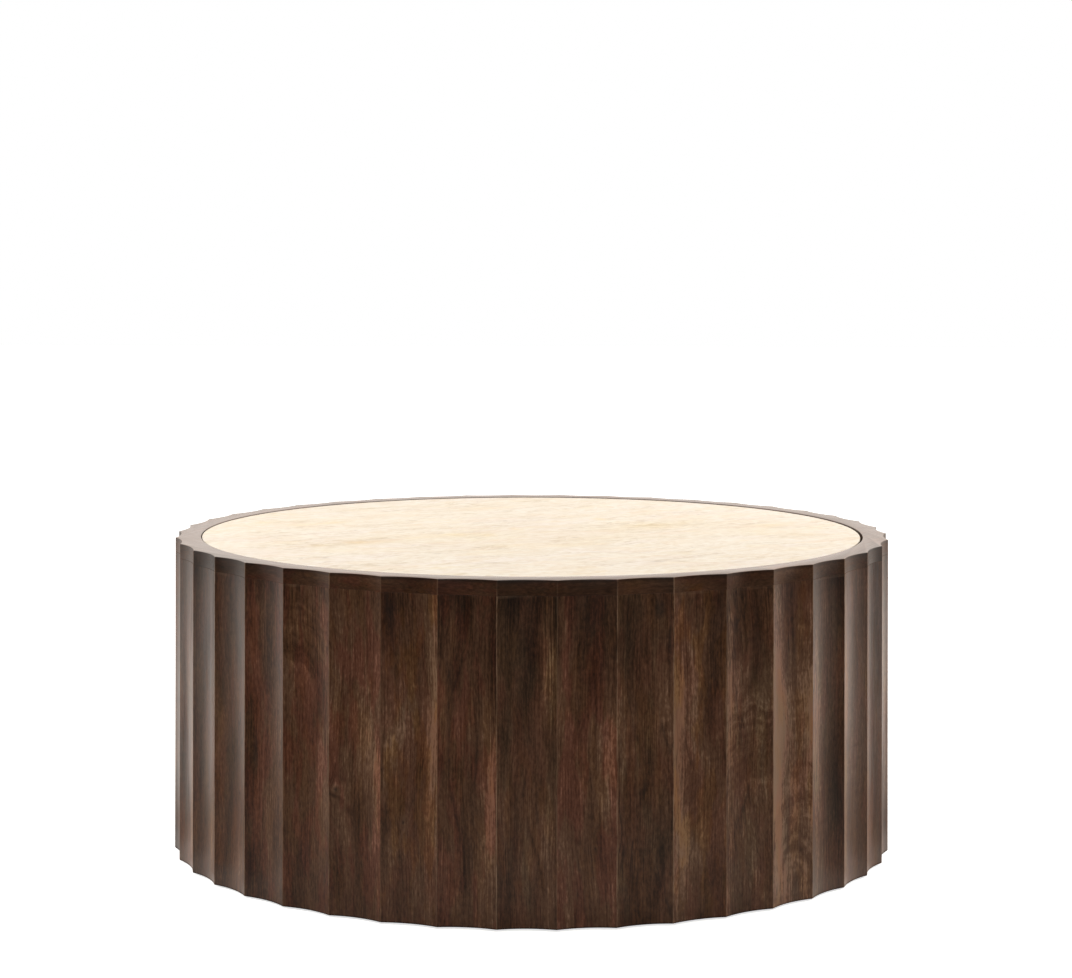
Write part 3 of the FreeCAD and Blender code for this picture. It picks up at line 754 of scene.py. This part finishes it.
# Moves a point of the fluted face as a hand-held sander would: ridges and hollows stray a little.
def handWork(point):
    radius = math.hypot(point.x, point.y)
    angle = math.atan2(point.y, point.x) % (2 * math.pi)
    share, index = math.modf(angle / drum["step"])
    index = int(index) % drum["fluteCount"]
    nextIndex = (index + 1) % drum["fluteCount"]
    slip = ridgeSlip[index] * (1 - share) + ridgeSlip[nextIndex] * share
    hollow = 4 * share * (1 - share)
    around, upward = hand["waveScale"]
    wave = noise.noise(polar(around, angle, point.z * upward)) * hand["wave"]
    face = max(0.0, min(1.0, (radius - hand["faceFrom"]) / hand["faceOver"]))
    radius += face * hollow * (fluteStray[index] + wave)
    angle += face * slip / radius
    point.x, point.y = radius * math.cos(angle), radius * math.sin(angle)


def finishMesh(bm, name, material, sharpAngle=math.radians(32)):
    for face in bm.faces:
        face.smooth = True
    for edge in bm.edges:
        edge.smooth = len(edge.link_faces) == 2 and edge.calc_face_angle(0) < sharpAngle
    mesh = bpy.data.meshes.new(name)
    bm.to_mesh(mesh)
    bm.free()
    mesh.materials.append(material)
    piece = bpy.data.objects.new(name, mesh)
    bpy.context.scene.collection.objects.link(piece)
    return piece


# Keeps each vertex's place in its board, its rubbed ridge with its painted highlight, and the board's own
# tone, traits and streaks.
def storeBoard(mesh, places, board, seed, rubsAndGlints, tones=None):
    vectors = {"boardPlace": places, "ridgeRub": [(*rubAndGlint, board["contrast"]) for rubAndGlint in rubsAndGlints]}
    for name in ("boardTone", "boardTraits", "boardKnot", "boardDrift", "boardHeart", "boardArch"):
        vectors[name] = [board[name]] * len(places)
    if tones:
        vectors["boardTone"] = tones
    for number in range(streakSlots):
        streak = board["streaks"][number] if number < len(board["streaks"]) else (0.0,) * 6
        vectors["streakPlace%d" % (number + 1)] = [streak[:3]] * len(places)
        vectors["streakSize%d" % (number + 1)] = [streak[3:]] * len(places)
    for name, values in vectors.items():
        layer = mesh.attributes.new(name, "FLOAT_VECTOR", "POINT")
        layer.data.foreach_set("vector", [value for vector in values for value in vector])
    layer = mesh.attributes.new("boardSeed", "FLOAT", "POINT")
    layer.data.foreach_set("value", [seed] * len(places))


# How far a point of the fluted face lies from the nearest ridge, and how far that ridge is rubbed and painted
# with a highlight.
def ridgeDistance(point):
    if math.hypot(point.x, point.y) < hand["rubAndGlintFrom"]:
        return (hand["rubAndGlintFar"], 0.0)
    turns = (math.atan2(point.y, point.x) / drum["step"]) % drum["fluteCount"]
    ridge = round(turns)
    return (abs(turns - ridge) * drum["step"] * drum["ridgeRadius"], ridgeRub[ridge % drum["fluteCount"]])


# Sands the fluted face by hand and turns the shape into a board that carries its own wood.
def makeBoard(bm, name, material, places, board, seed, tones=None):
    rubsAndGlints = [ridgeDistance(vert.co) for vert in bm.verts]
    for vert in bm.verts:
        handWork(vert.co)
    piece = finishMesh(bm, name, material)
    storeBoard(piece.data, places, board, seed, rubsAndGlints, tones)
    return piece


# Kinds of board: lightness, gold and rose, then curl, minerals and olive.
boardKinds = {
    "umber": ((-0.1, 0.35, 0.45), (0.1, 0.5, 0.8)),
    "russet": ((-0.02, 0.4, 0.95), (0.12, 0.3, 0.2)),
    "golden": ((0.02, 0.95, 0.5), (0.1, 0.4, 0.3)),
    "olive": ((-0.04, 0.45, 0.35), (0.12, 0.7, 0.9)),
    "tan": ((0.1, 0.6, 0.5), (0.35, 0.3, 0.3)),
}
# The boards that the photograph shows, from the left to the right of the drum: kind, lightness added,
# lightness gained from the left to the right edge and from foot to top, how strong the markings are
# (less where more light lies on them), and lightness added to the ring above.
# On the boards at the sides, the gain from edge to edge is partly painted sheen, where the flute turns to the
# light.
seenBoards = {
    24: ("umber", 0.06, 0.12, -0.06, 0.75, -0.08),
    25: ("umber", -0.03, 0.08, -0.08, 0.75, -0.2),
    26: ("olive", -0.04, 0.0, -0.06, 0.85, -0.08),
    27: ("russet", -0.06, 0.04, -0.06, 1.0, 0.1),
    28: ("russet", 0.05, 0.06, 0.0, 1.0, 0.0),
    29: ("russet", 0.14, 0.06, -0.02, 1.0, 0.0),
    30: ("golden", 0.04, 0.06, -0.06, 1.0, 0.01),
    31: ("russet", 0.0, 0.06, -0.06, 1.0, 0.0),
    32: ("olive", None, 0.0, -0.06, 1.0, -0.04),
    33: ("russet", 0.04, 0.0, -0.17, 1.0, -0.04),
    34: ("olive", 0.02, -0.15, 0.04, 1.0, 0.05),
    35: ("golden", 0.1, -0.36, 0.09, 1.0, -0.06),
    36: ("umber", 0.15, -0.22, -0.02, 1.0, 0.05),
    37: ("tan", 0.15, -0.18, -0.08, 1.0, 0.0),
    38: ("umber", 0.07, -0.28, -0.08, 0.85, 0.02),
    39: ("tan", 0.04, -0.28, -0.04, 0.75, -0.12),
    40: ("tan", 0.02, -0.22, -0.1, 0.75, -0.18),
}
boardSize = {"width": 0.067, "height": 0.378}
# Knots: across and along the board, and the radius.
knots = {29: (-0.026, 0.145, 0.0022), 30: (-0.008, 0.115, 0.0016), 33: (0.01, 0.09, 0.0012)}
streakSlots = 8
# Streaks in the seen boards, in mm: across, along, half width, half length, then how dark they are
# (below 0: light) and how far they lean.
# The light streaks along the edges and feet of the boards are painted highlight, where the flute turns to the
# light.
streaks = {
    24: ((-20, 190, 11, 120, 0.22), (18, 120, 12, 150, -0.2), (2, 30, 16, 60, -0.2), (15, 40, 10, 50, -0.2),
         (6, 300, 4, 50, 0.1, 0.05), (-5, 90, 3, 40, 0.12, -0.06)),
    25: ((-10, 230, 14, 90, 0.1), (18, 50, 14, 60, -0.34), (-18, 110, 3, 40, 0.12, 0.04),
         (5, 290, 4, 40, 0.1)),
    26: ((-4, 200, 20, 110, 0.2), (15, 40, 20, 60, -0.18), (-16, 250, 3, 40, 0.12, 0.05),
         (10, 140, 3, 40, 0.1)),
    27: ((-17.4, 174, 3.1, 18, 0.26), (-21.4, 116, 2.6, 42, 0.14), (-26.1, 42, 5.2, 27, 0.25, 0.09),
         (17.4, 191, 8.7, 90, 0.03), (-30.8, 208, 5.2, 133, 0.05), (8, 220, 9, 130, 0.08),
         (-24, 45, 12, 40, 0.1)),
    28: ((23.4, 313, 7.3, 67, -0.1), (-12.7, 275, 2.9, 16, 0.12, 0.13), (7.4, 220, 7.3, 29, 0.1, 0.13),
         (26.8, 188, 4.4, 18, -0.1), (-24.1, 354, 11.8, 22, -0.06), (-14.7, 69, 13.2, 44, 0.06)),
    29: ((-27.5, 139, 3.9, 9, 0.32, -1.16), (-10, 121, 3.9, 6, 0.2, -0.7),
         (-32.8, 189, 2.6, 20, 0.2, -0.12), (-18.1, 161, 11.6, 11, 0.15), (-5.4, 268, 3.9, 7, 0.15),
         (22.1, 186, 11.6, 31, -0.13), (-15, 45, 18, 40, 0.14), (0, 210, 26, 60, -0.09)),
    30: ((-22.8, 349, 5.9, 20, 0.24), (-28.1, 114, 4.7, 22, 0.2), (-12.1, 67, 4.7, 28, 0.14),
         (9.4, 287, 3.6, 22, 0.1), (29, 221, 8.5, 144, -0.26), (-24.8, 207, 7.1, 27, -0.08)),
    31: ((-20.8, 281, 3.9, 22, 0.24), (-12.1, 278, 1.7, 20, 0.2, 0.33), (-22.1, 217, 2.8, 47, 0.27),
         (-13.4, 130, 1.7, 28, 0.28, -0.2), (-3.4, 72, 1.7, 33, 0.3, -0.03), (10, 183, 1.7, 47, 0.26, 0.05),
         (26, 160, 7.9, 110, -0.28), (-28.8, 112, 3.9, 50, -0.12)),
    32: ((-5.4, 295, 18.8, 89, 0.12), (24, 295, 12, 65, -0.38), (8, 205, 18, 50, 0.14),
         (-4, 159, 1.7, 24, 0.22, 0.15), (14.1, 158, 2.2, 22, 0.18, 0.18), (8, 94, 2.2, 28, 0.26, -0.25),
         (17.4, 54, 1.7, 24, 0.22, -0.12), (24.1, 116, 5, 38, -0.16)),
    33: ((2, 347, 17.9, 36, 0.2), (-27.5, 240, 5.6, 47, -0.12), (26.8, 155, 5.6, 122, -0.04),
         (-9.4, 98, 3.4, 6, 0.18), (-25.5, 345, 6.7, 38, -0.06), (3.4, 144, 11.2, 67, -0.05),
         (6, 45, 22, 40, -0.09)),
    34: ((-16.8, 330, 11.7, 38, 0.14), (18.8, 354, 6.5, 14, 0.28, 0.11), (29.5, 319, 2.3, 29, 0.25),
         (-0.7, 152, 2.9, 10, 0.26, 0.26), (14.7, 35, 7, 17, 0.26), (20.1, 84, 4.7, 20, 0.16),
         (-10.7, 47, 4.7, 11, 0.14), (10, 220, 11, 60, -0.12)),
    35: ((-27.5, 212, 7.6, 89, -0.34), (21.4, 332, 7.6, 50, 0.16, 0.11), (14.1, 248, 7.6, 50, 0.2, 0.14),
         (15.4, 141, 12.7, 44, 0.15), (-7.4, 104, 3.8, 9, 0.12), (1.3, 46, 17.8, 27, 0.07),
         (23, 45, 12, 40, 0.14)),
    36: ((-27.5, 223, 6.5, 144, -0.32), (10.7, 327, 12.9, 39, 0.13), (6, 265, 5.7, 24, 0.14, 0.58),
         (-10, 193, 11.5, 24, 0.1), (27.5, 126, 5.7, 56, -0.06)),
    37: ((-23, 175, 10, 160, -0.35), (3.4, 316, 3, 44, 0.32, -0.06), (28.1, 204, 7.6, 89, -0.12),
         (6.7, 235, 5.1, 33, 0.12), (-20, 40, 15, 60, -0.14)),
    38: ((12.1, 155, 12.7, 69, 0.18), (-19.4, 180, 8.5, 133, -0.24), (-2, 30, 22, 60, -0.16)),
    39: ((-27, 190, 9, 300, -0.24), (8, 290, 9, 80, 0.1), (2, 120, 2.5, 50, 0.12, 0.03),
         (16, 60, 10, 50, 0.1)),
    40: ((-28, 190, 10, 400, -0.3), (11, 240, 20, 300, 0.3), (2, 50, 14, 60, -0.14),
         (10, 150, 2.5, 50, 0.1, 0.03)),
}
# Where the heart of the tree lies: aside, below the face at the foot, and deeper towards the top.
hearts = {
    28: (-0.03, 0.05, 0.05), 30: (0.04, 0.03, 0.06), 31: (0.002, 0.03, -0.06),
    32: (0.01, 0.012, 0.08), 34: (-0.012, 0.02, 0.09), 36: (0.02, 0.075, 0.02),
    37: (0.008, 0.016, 0.03), 38: (0.05, 0.04, 0.03),
}
# Boards with arches: how high they reach, how far the heart sinks there, and how strong they are.
arches = {28: (0.37, 0.06, 0.8), 36: (0.25, 0.1, 0.8), 37: (0.145, 0.06, 0.9)}
# What the other boards draw, from the lowest to the highest value.
unseen = {
    "gain": (-0.03, 0.03),
    "knot": ((-0.02, 0.02), (0.05, 0.33)),
    "knotSize": 0.002,
    "knotShare": 0.25,          # how many of the boards have a knot
    "heart": ((0.0, 0.09), (0.02, 0.06), (-0.1, 0.1)),
    "streak": ((-0.025, 0.025), (0.04, 0.34), (-0.2, 0.2), (0.0016, 0.003), (0.015, 0.05), (0.1, 0.3)),
    "patchPlace": ((-0.03, 0.03), (0.04, 0.34)),
    "patchSize": ((0.006, 0.016), (0.03, 0.09), (-0.14, 0.22)),
    "drift": ((-0.15, 0.15), (-0.1, 0.1)),
    "arch": ((0.12, 0.32), (0.03, 0.09)),
    "archStrength": (0.0, 0.0, 0.6, 1.1),
}
archPick = random.Random(5)


# Draws one value from each range.
def pick(ranges, source=random):
    return [source.uniform(low, high) for low, high in ranges]


topTones = {}       # what the ring takes over from the tops of the staves


# The ring's lightness, gold and rose at a point, after the stave below.
def ringTone(point, base):
    turns = (math.atan2(point.y, point.x) / drum["step"]) % drum["fluteCount"]
    index = int(turns) + 1
    lightness, across, gold, rose = topTones[index]
    return (base + lightness + across * (turns % 1 - 0.5), gold, rose)


# A streak as the shader reads it: its middle and lean, then its size and darkness.
def inMetres(across, along, width, length, dark, lean=0.0):
    return (across * mm, along * mm, lean, width * mm, length * mm, dark)


# The wood of one stave: as the photograph shows it, or drawn.
def chooseBoard(index):
    if index in seenBoards:
        kind, gain, across, along, contrast, ringGain = seenBoards[index]
    else:
        kind, gain, contrast, ringGain = random.choice(sorted(boardKinds)), None, 1.0, 0.0
    (lightness, gold, rose), traits = boardKinds[kind]
    drawn = random.uniform(*unseen["gain"])
    lightness += drawn if gain is None else gain
    knotSize = unseen["knotSize"] if random.random() < unseen["knotShare"] else 0.0
    knot = (*pick(unseen["knot"]), knotSize)
    side = random.choice((-1, 1))
    aside, below, deeper = pick(unseen["heart"])
    marks = [pick(unseen["streak"]) for _ in range(3)]
    for _ in range(3):
        marks.append((*pick(unseen["patchPlace"]), 0.0, *pick(unseen["patchSize"])))
    arch = (*pick(unseen["arch"], archPick), archPick.choice(unseen["archStrength"]))
    if index in seenBoards:
        arch = arches.get(index, (0.0, 0.0, 0.0))
    else:
        across, along = pick(unseen["drift"])
    topTones[index] = (lightness + along / 2 + ringGain, across, gold, rose)
    return {
        "boardTone": (lightness - along / 2, gold, rose),
        "boardTraits": traits,
        "boardKnot": knots.get(index, knot),
        "boardDrift": (0.0, across / boardSize["width"], along / boardSize["height"]),
        "boardHeart": hearts.get(index, (side * aside, below, deeper)),
        "boardArch": arch,
        "streaks": [inMetres(*streak) for streak in streaks[index]] if index in streaks else marks,
        "contrast": contrast,
    }


# Staves replace the plain ones: rounded ridges, eased ends and a hand-worked face.
def makeStaves(material):
    sizes = fluteSizes()
    stave = {
        "easeFoot": 0.0012,
        "easeSeam": 0.00012,
        "cuts": 11,             # across the height, so that the face can stray
        "grainStep": 0.731,     # from one board's place in the grain to the next
    }
    random.seed(7)
    for index in range(1, drum["fluteCount"] + 1):
        bm = bmesh.new()
        first = bm.verts.new(polar(sizes["tip"], -sizes["half"], staveBottom))
        last = walkFlute(bm, first, 0, staveBottom, sizes)
        corners = [bm.verts.new((sizes["back"], side * sizes["back"] * math.tan(sizes["half"]), staveBottom))
                   for side in (1, -1)]
        for pair in ((last, corners[0]), corners, (corners[1], first)):
            bm.edges.new(pair)
        fillAndRaise(bm, seamHeight - staveBottom)
        outside = sizes["back"] + drum["staveDepth"] / 2
        for height, width, steps in ((staveBottom, stave["easeFoot"], 2), (seamHeight, stave["easeSeam"], 1)):
            easeEdges(bm, levelEdges(bm, height, lambda middle: middle.x > outside), width, steps)
        upright = [edge for edge in bm.edges if abs(edge.verts[0].co.z - edge.verts[1].co.z) > seamHeight / 2]
        bmesh.ops.subdivide_edges(bm, edges=upright, cuts=stave["cuts"], use_grid_fill=True)
        places = [(vert.co.x - sizes["back"], vert.co.y, vert.co.z) for vert in bm.verts]
        turn = Matrix.Rotation((index - 0.5) * drum["step"], 4, "Z")
        bmesh.ops.transform(bm, matrix=turn, verts=bm.verts)
        piece = makeBoard(bm, "flutedStave_%02d" % index, material, places, chooseBoard(index),
                          index * stave["grainStep"])
        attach(piece, "drum")
        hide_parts("stave_%02d" % index)
    print("staves made")


# Six ring segments with the flutes of the staves, eased on both top edges.
def makeRim(material):
    sizes = fluteSizes()
    flutes = drum["fluteCount"] // drum["segmentCount"]
    recess = drum["ridgeRadius"] - drum["rimWidth"]
    span = flutes * drum["step"]
    middleRadius = recess + drum["rimWidth"] / 2
    ring = {
        "easeTop": 0.0008,
        "easeSeam": 0.00012,
        "wallSteps": 56,
        "wallNear": 0.008,      # edges farther than this from the ring's middle are on a wall
        "lightness": (-0.13, -0.1),
        "tint": (0.2, 0.6),
        "grainFrom": 40,
        "grainStep": 0.917,
    }
    random.seed(11)
    for index in range(1, drum["segmentCount"] + 1):
        bm = bmesh.new()
        first = bm.verts.new(polar(recess, -span / 2, seamHeight))
        outer = bm.verts.new(polar(sizes["tip"], -span / 2, seamHeight))
        bm.edges.new((first, outer))
        for flute in range(flutes):
            outer = walkFlute(bm, outer, (flute + 0.5) * drum["step"] - span / 2, seamHeight, sizes)
        inner = bm.verts.new(polar(recess, span / 2, seamHeight))
        bm.edges.new((outer, inner))
        spinPoint(bm, inner, Vector((0, 0, seamHeight)), -span, ring["wallSteps"])
        fillAndRaise(bm, tableTop - seamHeight)
        near = ring["wallNear"]
        rounded = levelEdges(bm, tableTop, lambda middle: abs(middle.xy.length - middleRadius) > near)
        easeEdges(bm, rounded, ring["easeTop"], 3)
        below = levelEdges(bm, seamHeight, lambda middle: middle.xy.length > middleRadius + near)
        easeEdges(bm, below, ring["easeSeam"], 1)
        places = [(vert.co.z, vert.co.x - recess, vert.co.y) for vert in bm.verts]
        turn = Matrix.Rotation(drum["firstJoint"] + (index - 0.5) * span, 4, "Z")
        bmesh.ops.transform(bm, matrix=turn, verts=bm.verts)
        base = random.uniform(*ring["lightness"])
        tones = [ringTone(vert.co, base) for vert in bm.verts]
        board = {
            "boardTone": (base, *pick((ring["tint"], ring["tint"]))),
            "boardTraits": (0.1, 0.4, 0.5),
            "boardKnot": (0.0, 0.0, 0.0),
            "boardDrift": (0.0, 0.0, 0.0),
            "boardHeart": (0.02, 0.06, 0.03),
            "boardArch": (0.0, 0.0, 0.0),
            "streaks": (),
            "contrast": 0.55,
        }
        piece = makeBoard(bm, "flutedRim_%d" % index, material, places, board,
                          ring["grainFrom"] + index * ring["grainStep"], tones)
        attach(piece, "drum")
        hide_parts("rim_segment_%d" % index)
    print("ring made")


# The loose travertine disc with an eased upper edge.
def makeStone(material):
    stone = {"segments": 256, "thickness": stoneTop - stoneBottom, "easeTop": 0.0012, "easeBottom": 0.0006}
    bm = bmesh.new()
    bmesh.ops.create_circle(bm, cap_ends=True, radius=drum["stoneRadius"], segments=stone["segments"])
    raiseFace(bm, stone["thickness"])
    for height, width, steps in ((stone["thickness"], stone["easeTop"], 4), (0, stone["easeBottom"], 1)):
        edges = levelEdges(bm, height, lambda middle: middle.xy.length > drum["stoneRadius"] / 2)
        easeEdges(bm, edges, width, steps)
    bmesh.ops.translate(bm, verts=bm.verts, vec=(drum["stoneShift"], 0, stoneBottom))
    piece = finishMesh(bm, "travertineTop", material)
    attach(piece, "stone_top")
    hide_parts("stone_top")
    print("stone made")


# The carried-over pieces inside and under the drum keep their shapes and get their finishes.
def dressInside():
    finishes = {
        "plywood": plywoodFinish(),
        "frame_timber": bareTimber(),
        "screw_steel": plainFinish("screwSteel", (0.42, 0.36, 0.22), (0.62, 0.56, 0.38), (0.28, 0.42), 1.0),
        "clear_rubber": plainFinish("clearRubber", (0.66, 0.66, 0.64), (0.78, 0.78, 0.76), (0.35, 0.5)),
        "glide_plastic": plainFinish("glidePlastic", (0.03, 0.026, 0.022), (0.055, 0.048, 0.042),
                                     (0.45, 0.6)),
    }
    for row in frame["record"]["subparts"]:
        finish = finishes.get(row["material_slot"])
        if finish:
            node = frame["nodes"][row["node"]]
            node.data.materials.clear()
            node.data.materials.append(finish)
    print("inside dressed")


# A white floor that keeps the drum's shadow, with two pools that only the drum's gloss sees.
def makeFloor():
    look = {
        "seen": (0.86, 0.83, 0.795),
        "bounced": (0.42, 0.405, 0.385),  # what the floor throws back at the drum
        "halfWidth": 12,
        "liftFrom": (0.46, 0.7),  # distance from the middle, and the lift of the white there
        "liftTo": (1.6, 1.0),
        "sheen": (1.05, 0.6),   # two bright pools beside and behind the drum, in its gloss
        "footSheen": 0.5,       # and the floor right beside its foot
        "leftPool": ((-0.22, -0.56), (-0.05, 0.55)),
        "rightPool": ((-0.2, 0.1), (0.05, 0.78, 0.0, 0.98)),
        "poolFrom": (0.38, 0.46),
        "poolOver": (0.6, 2.9),
        "footOver": (0.47, 0.57),
        "beside": (0.6, 0.85),
        "leftMirrored": (1.0, 0.955, 0.9),
        "rightMirrored": (1.0, 0.9, 0.8),
        "roughness": 0.9,
        "specular": 0.1,
    }
    bm = bmesh.new()
    bmesh.ops.create_grid(bm, x_segments=24, y_segments=24, size=look["halfWidth"])
    material, shader = newMaterial("studioFloor")
    place = objectPlace()
    rays = addNode("ShaderNodeLightPath").outputs
    mottle = noiseAt(place, (3, 3, 3), 2.0)
    tone = mixColor(rays["Is Camera Ray"], look["bounced"], look["seen"])
    wornAndGlint = mixColor(times(mottle, 0.04), tone, (1, 1, 1))
    dressShader(shader, wornAndGlint, look["roughness"], look["specular"])
    distance = vectorMaths("LENGTH", place, output="Value")
    # Away from the drum the floor turns into the plain white of the surround.
    lift = limits(distance, look["liftFrom"][0], look["liftTo"][0], look["liftFrom"][1], look["liftTo"][1])
    seen = times(rays["Is Camera Ray"], lift)
    toward = parts(vectorMaths("NORMALIZE", place))
    left, right = [times(limits(toward["X"], *x), limits(toward["Y"], *y))
                   for x, y in (look["leftPool"], look["rightPool"])]
    pool = times(larger(left, right), limits(distance, *look["poolFrom"]))
    sheen = times(pool, limits(distance, *look["poolOver"], *look["sheen"]))
    beside = limits(maths("ABSOLUTE", toward["X"]), *look["beside"])
    close = times(limits(distance, *look["footOver"], look["footSheen"], 0.0), beside)
    shone = times(rays["Is Glossy Ray"], plus(sheen, close))
    side = limits(toward["X"], -0.2, 0.2)
    mirrored = mixColor(side, look["leftMirrored"], look["rightMirrored"])
    feed(shader["Emission Color"], mixColor(rays["Is Glossy Ray"], (1, 1, 1), mirrored))
    feed(shader["Emission Strength"], plus(seen, shone))
    floor = finishMesh(bm, "studioFloor", material)


# A dark cloth that curves up behind the camera and darkens the gloss of the front boards.
def makeCloth():
    cloth = {
        "near": 0.92,
        "far": 4.4,
        "lift": 0.003,
        "height": 3.4,
        "from": math.radians(190),
        "to": math.radians(350),
        "steps": 40,
        "colors": ((0.02, 0.02, 0.02), (0.035, 0.035, 0.035)),
        "roughness": 0.95,
        "specular": 0.1,
    }
    bm = bmesh.new()
    outline = ((cloth["near"], cloth["lift"]), (cloth["far"], cloth["lift"]), (cloth["far"], cloth["height"]))
    corners = [bm.verts.new(polar(radius, cloth["from"], height)) for radius, height in outline]
    edges = [bm.edges.new(pair) for pair in zip(corners, corners[1:])]
    bmesh.ops.spin(bm, geom=corners + edges, cent=(0, 0, 0), axis=(0, 0, 1),
                   angle=cloth["to"] - cloth["from"], steps=cloth["steps"], dvec=(0, 0, 0),
                   use_merge=False, use_duplicate=False)
    material, shader = newMaterial("darkCloth")
    weave = noiseAt(objectPlace(), (400, 400, 400), 2.0)
    color = mixColor(weave, *cloth["colors"])
    dressShader(shader, color, cloth["roughness"], cloth["specular"])
    piece = finishMesh(bm, "darkCloth", material)
    piece.visible_camera = False


# The surround is white to the camera and warmer and weaker as light.
def makeSurround():
    surround = {"lighting": (1.0, 0.97, 0.935), "mirrored": (1.0, 0.905, 0.825), "strength": 0.45}
    world = bpy.data.worlds.new("studioSurround")
    world.use_nodes = True
    filling["tree"] = world.node_tree
    rays = addNode("ShaderNodeLightPath").outputs
    seen = larger(rays["Is Camera Ray"], rays["Is Glossy Ray"])
    seen = larger(seen, rays["Is Transmission Ray"])
    back = world.node_tree.nodes["Background"]
    color = mixColor(rays["Is Glossy Ray"], surround["lighting"], surround["mirrored"])
    feed(back.inputs["Color"], mixColor(rays["Is Camera Ray"], color, (1, 1, 1)))
    feed(back.inputs["Strength"], limits(seen, 0, 1, surround["strength"], 1.0))
    bpy.context.scene.world = world


# A soft lamp that is turned towards its aim.
def makeLamp(name, place, aim, width, height, power, mirrored):
    data = bpy.data.lights.new(name, "AREA")
    data.shape = "RECTANGLE"
    data.size, data.size_y = width, height
    data.energy = power
    lamp = bpy.data.objects.new(name, data)
    bpy.context.scene.collection.objects.link(lamp)
    lamp.visible_glossy = mirrored
    way = Vector(aim) - Vector(place)
    lamp.matrix_world = Matrix.Translation(place) @ way.to_track_quat("-Z", "Y").to_matrix().to_4x4()


def makeStudio():
    makeFloor()
    makeCloth()
    makeSurround()
    # Each lamp's place and aim, its width, height and power, and whether gloss shows it.
    lamps = {
        "overheadLamp": ((0, -0.45, 2.9), (0, -0.45, 0.3), 2.6, 2.2, 12.5, True),
        "frontLamp": ((0.3, -2.6, 1.9), (0, -0.3, 0.2), 2.4, 0.9, 32.5, True),
        "leftLamp": ((-2.5, 0.5, 1.0), (0, 0, 0.2), 1.2, 1.0, 55, False),
        "rightLamp": ((2.2, 1.3, 1.0), (0, 0, 0.2), 1.2, 1.0, 58, False),
    }
    for name, settings in lamps.items():
        makeLamp(name, *settings)
    bpy.context.scene.view_settings.view_transform = "Standard"
    print("studio lit")


makeCamera()
woodFinish = stainedWood(grainGroup(), streakGroup())
makeStaves(woodFinish)
makeRim(woodFinish)
makeStone(travertine())
dressInside()
makeStudio()
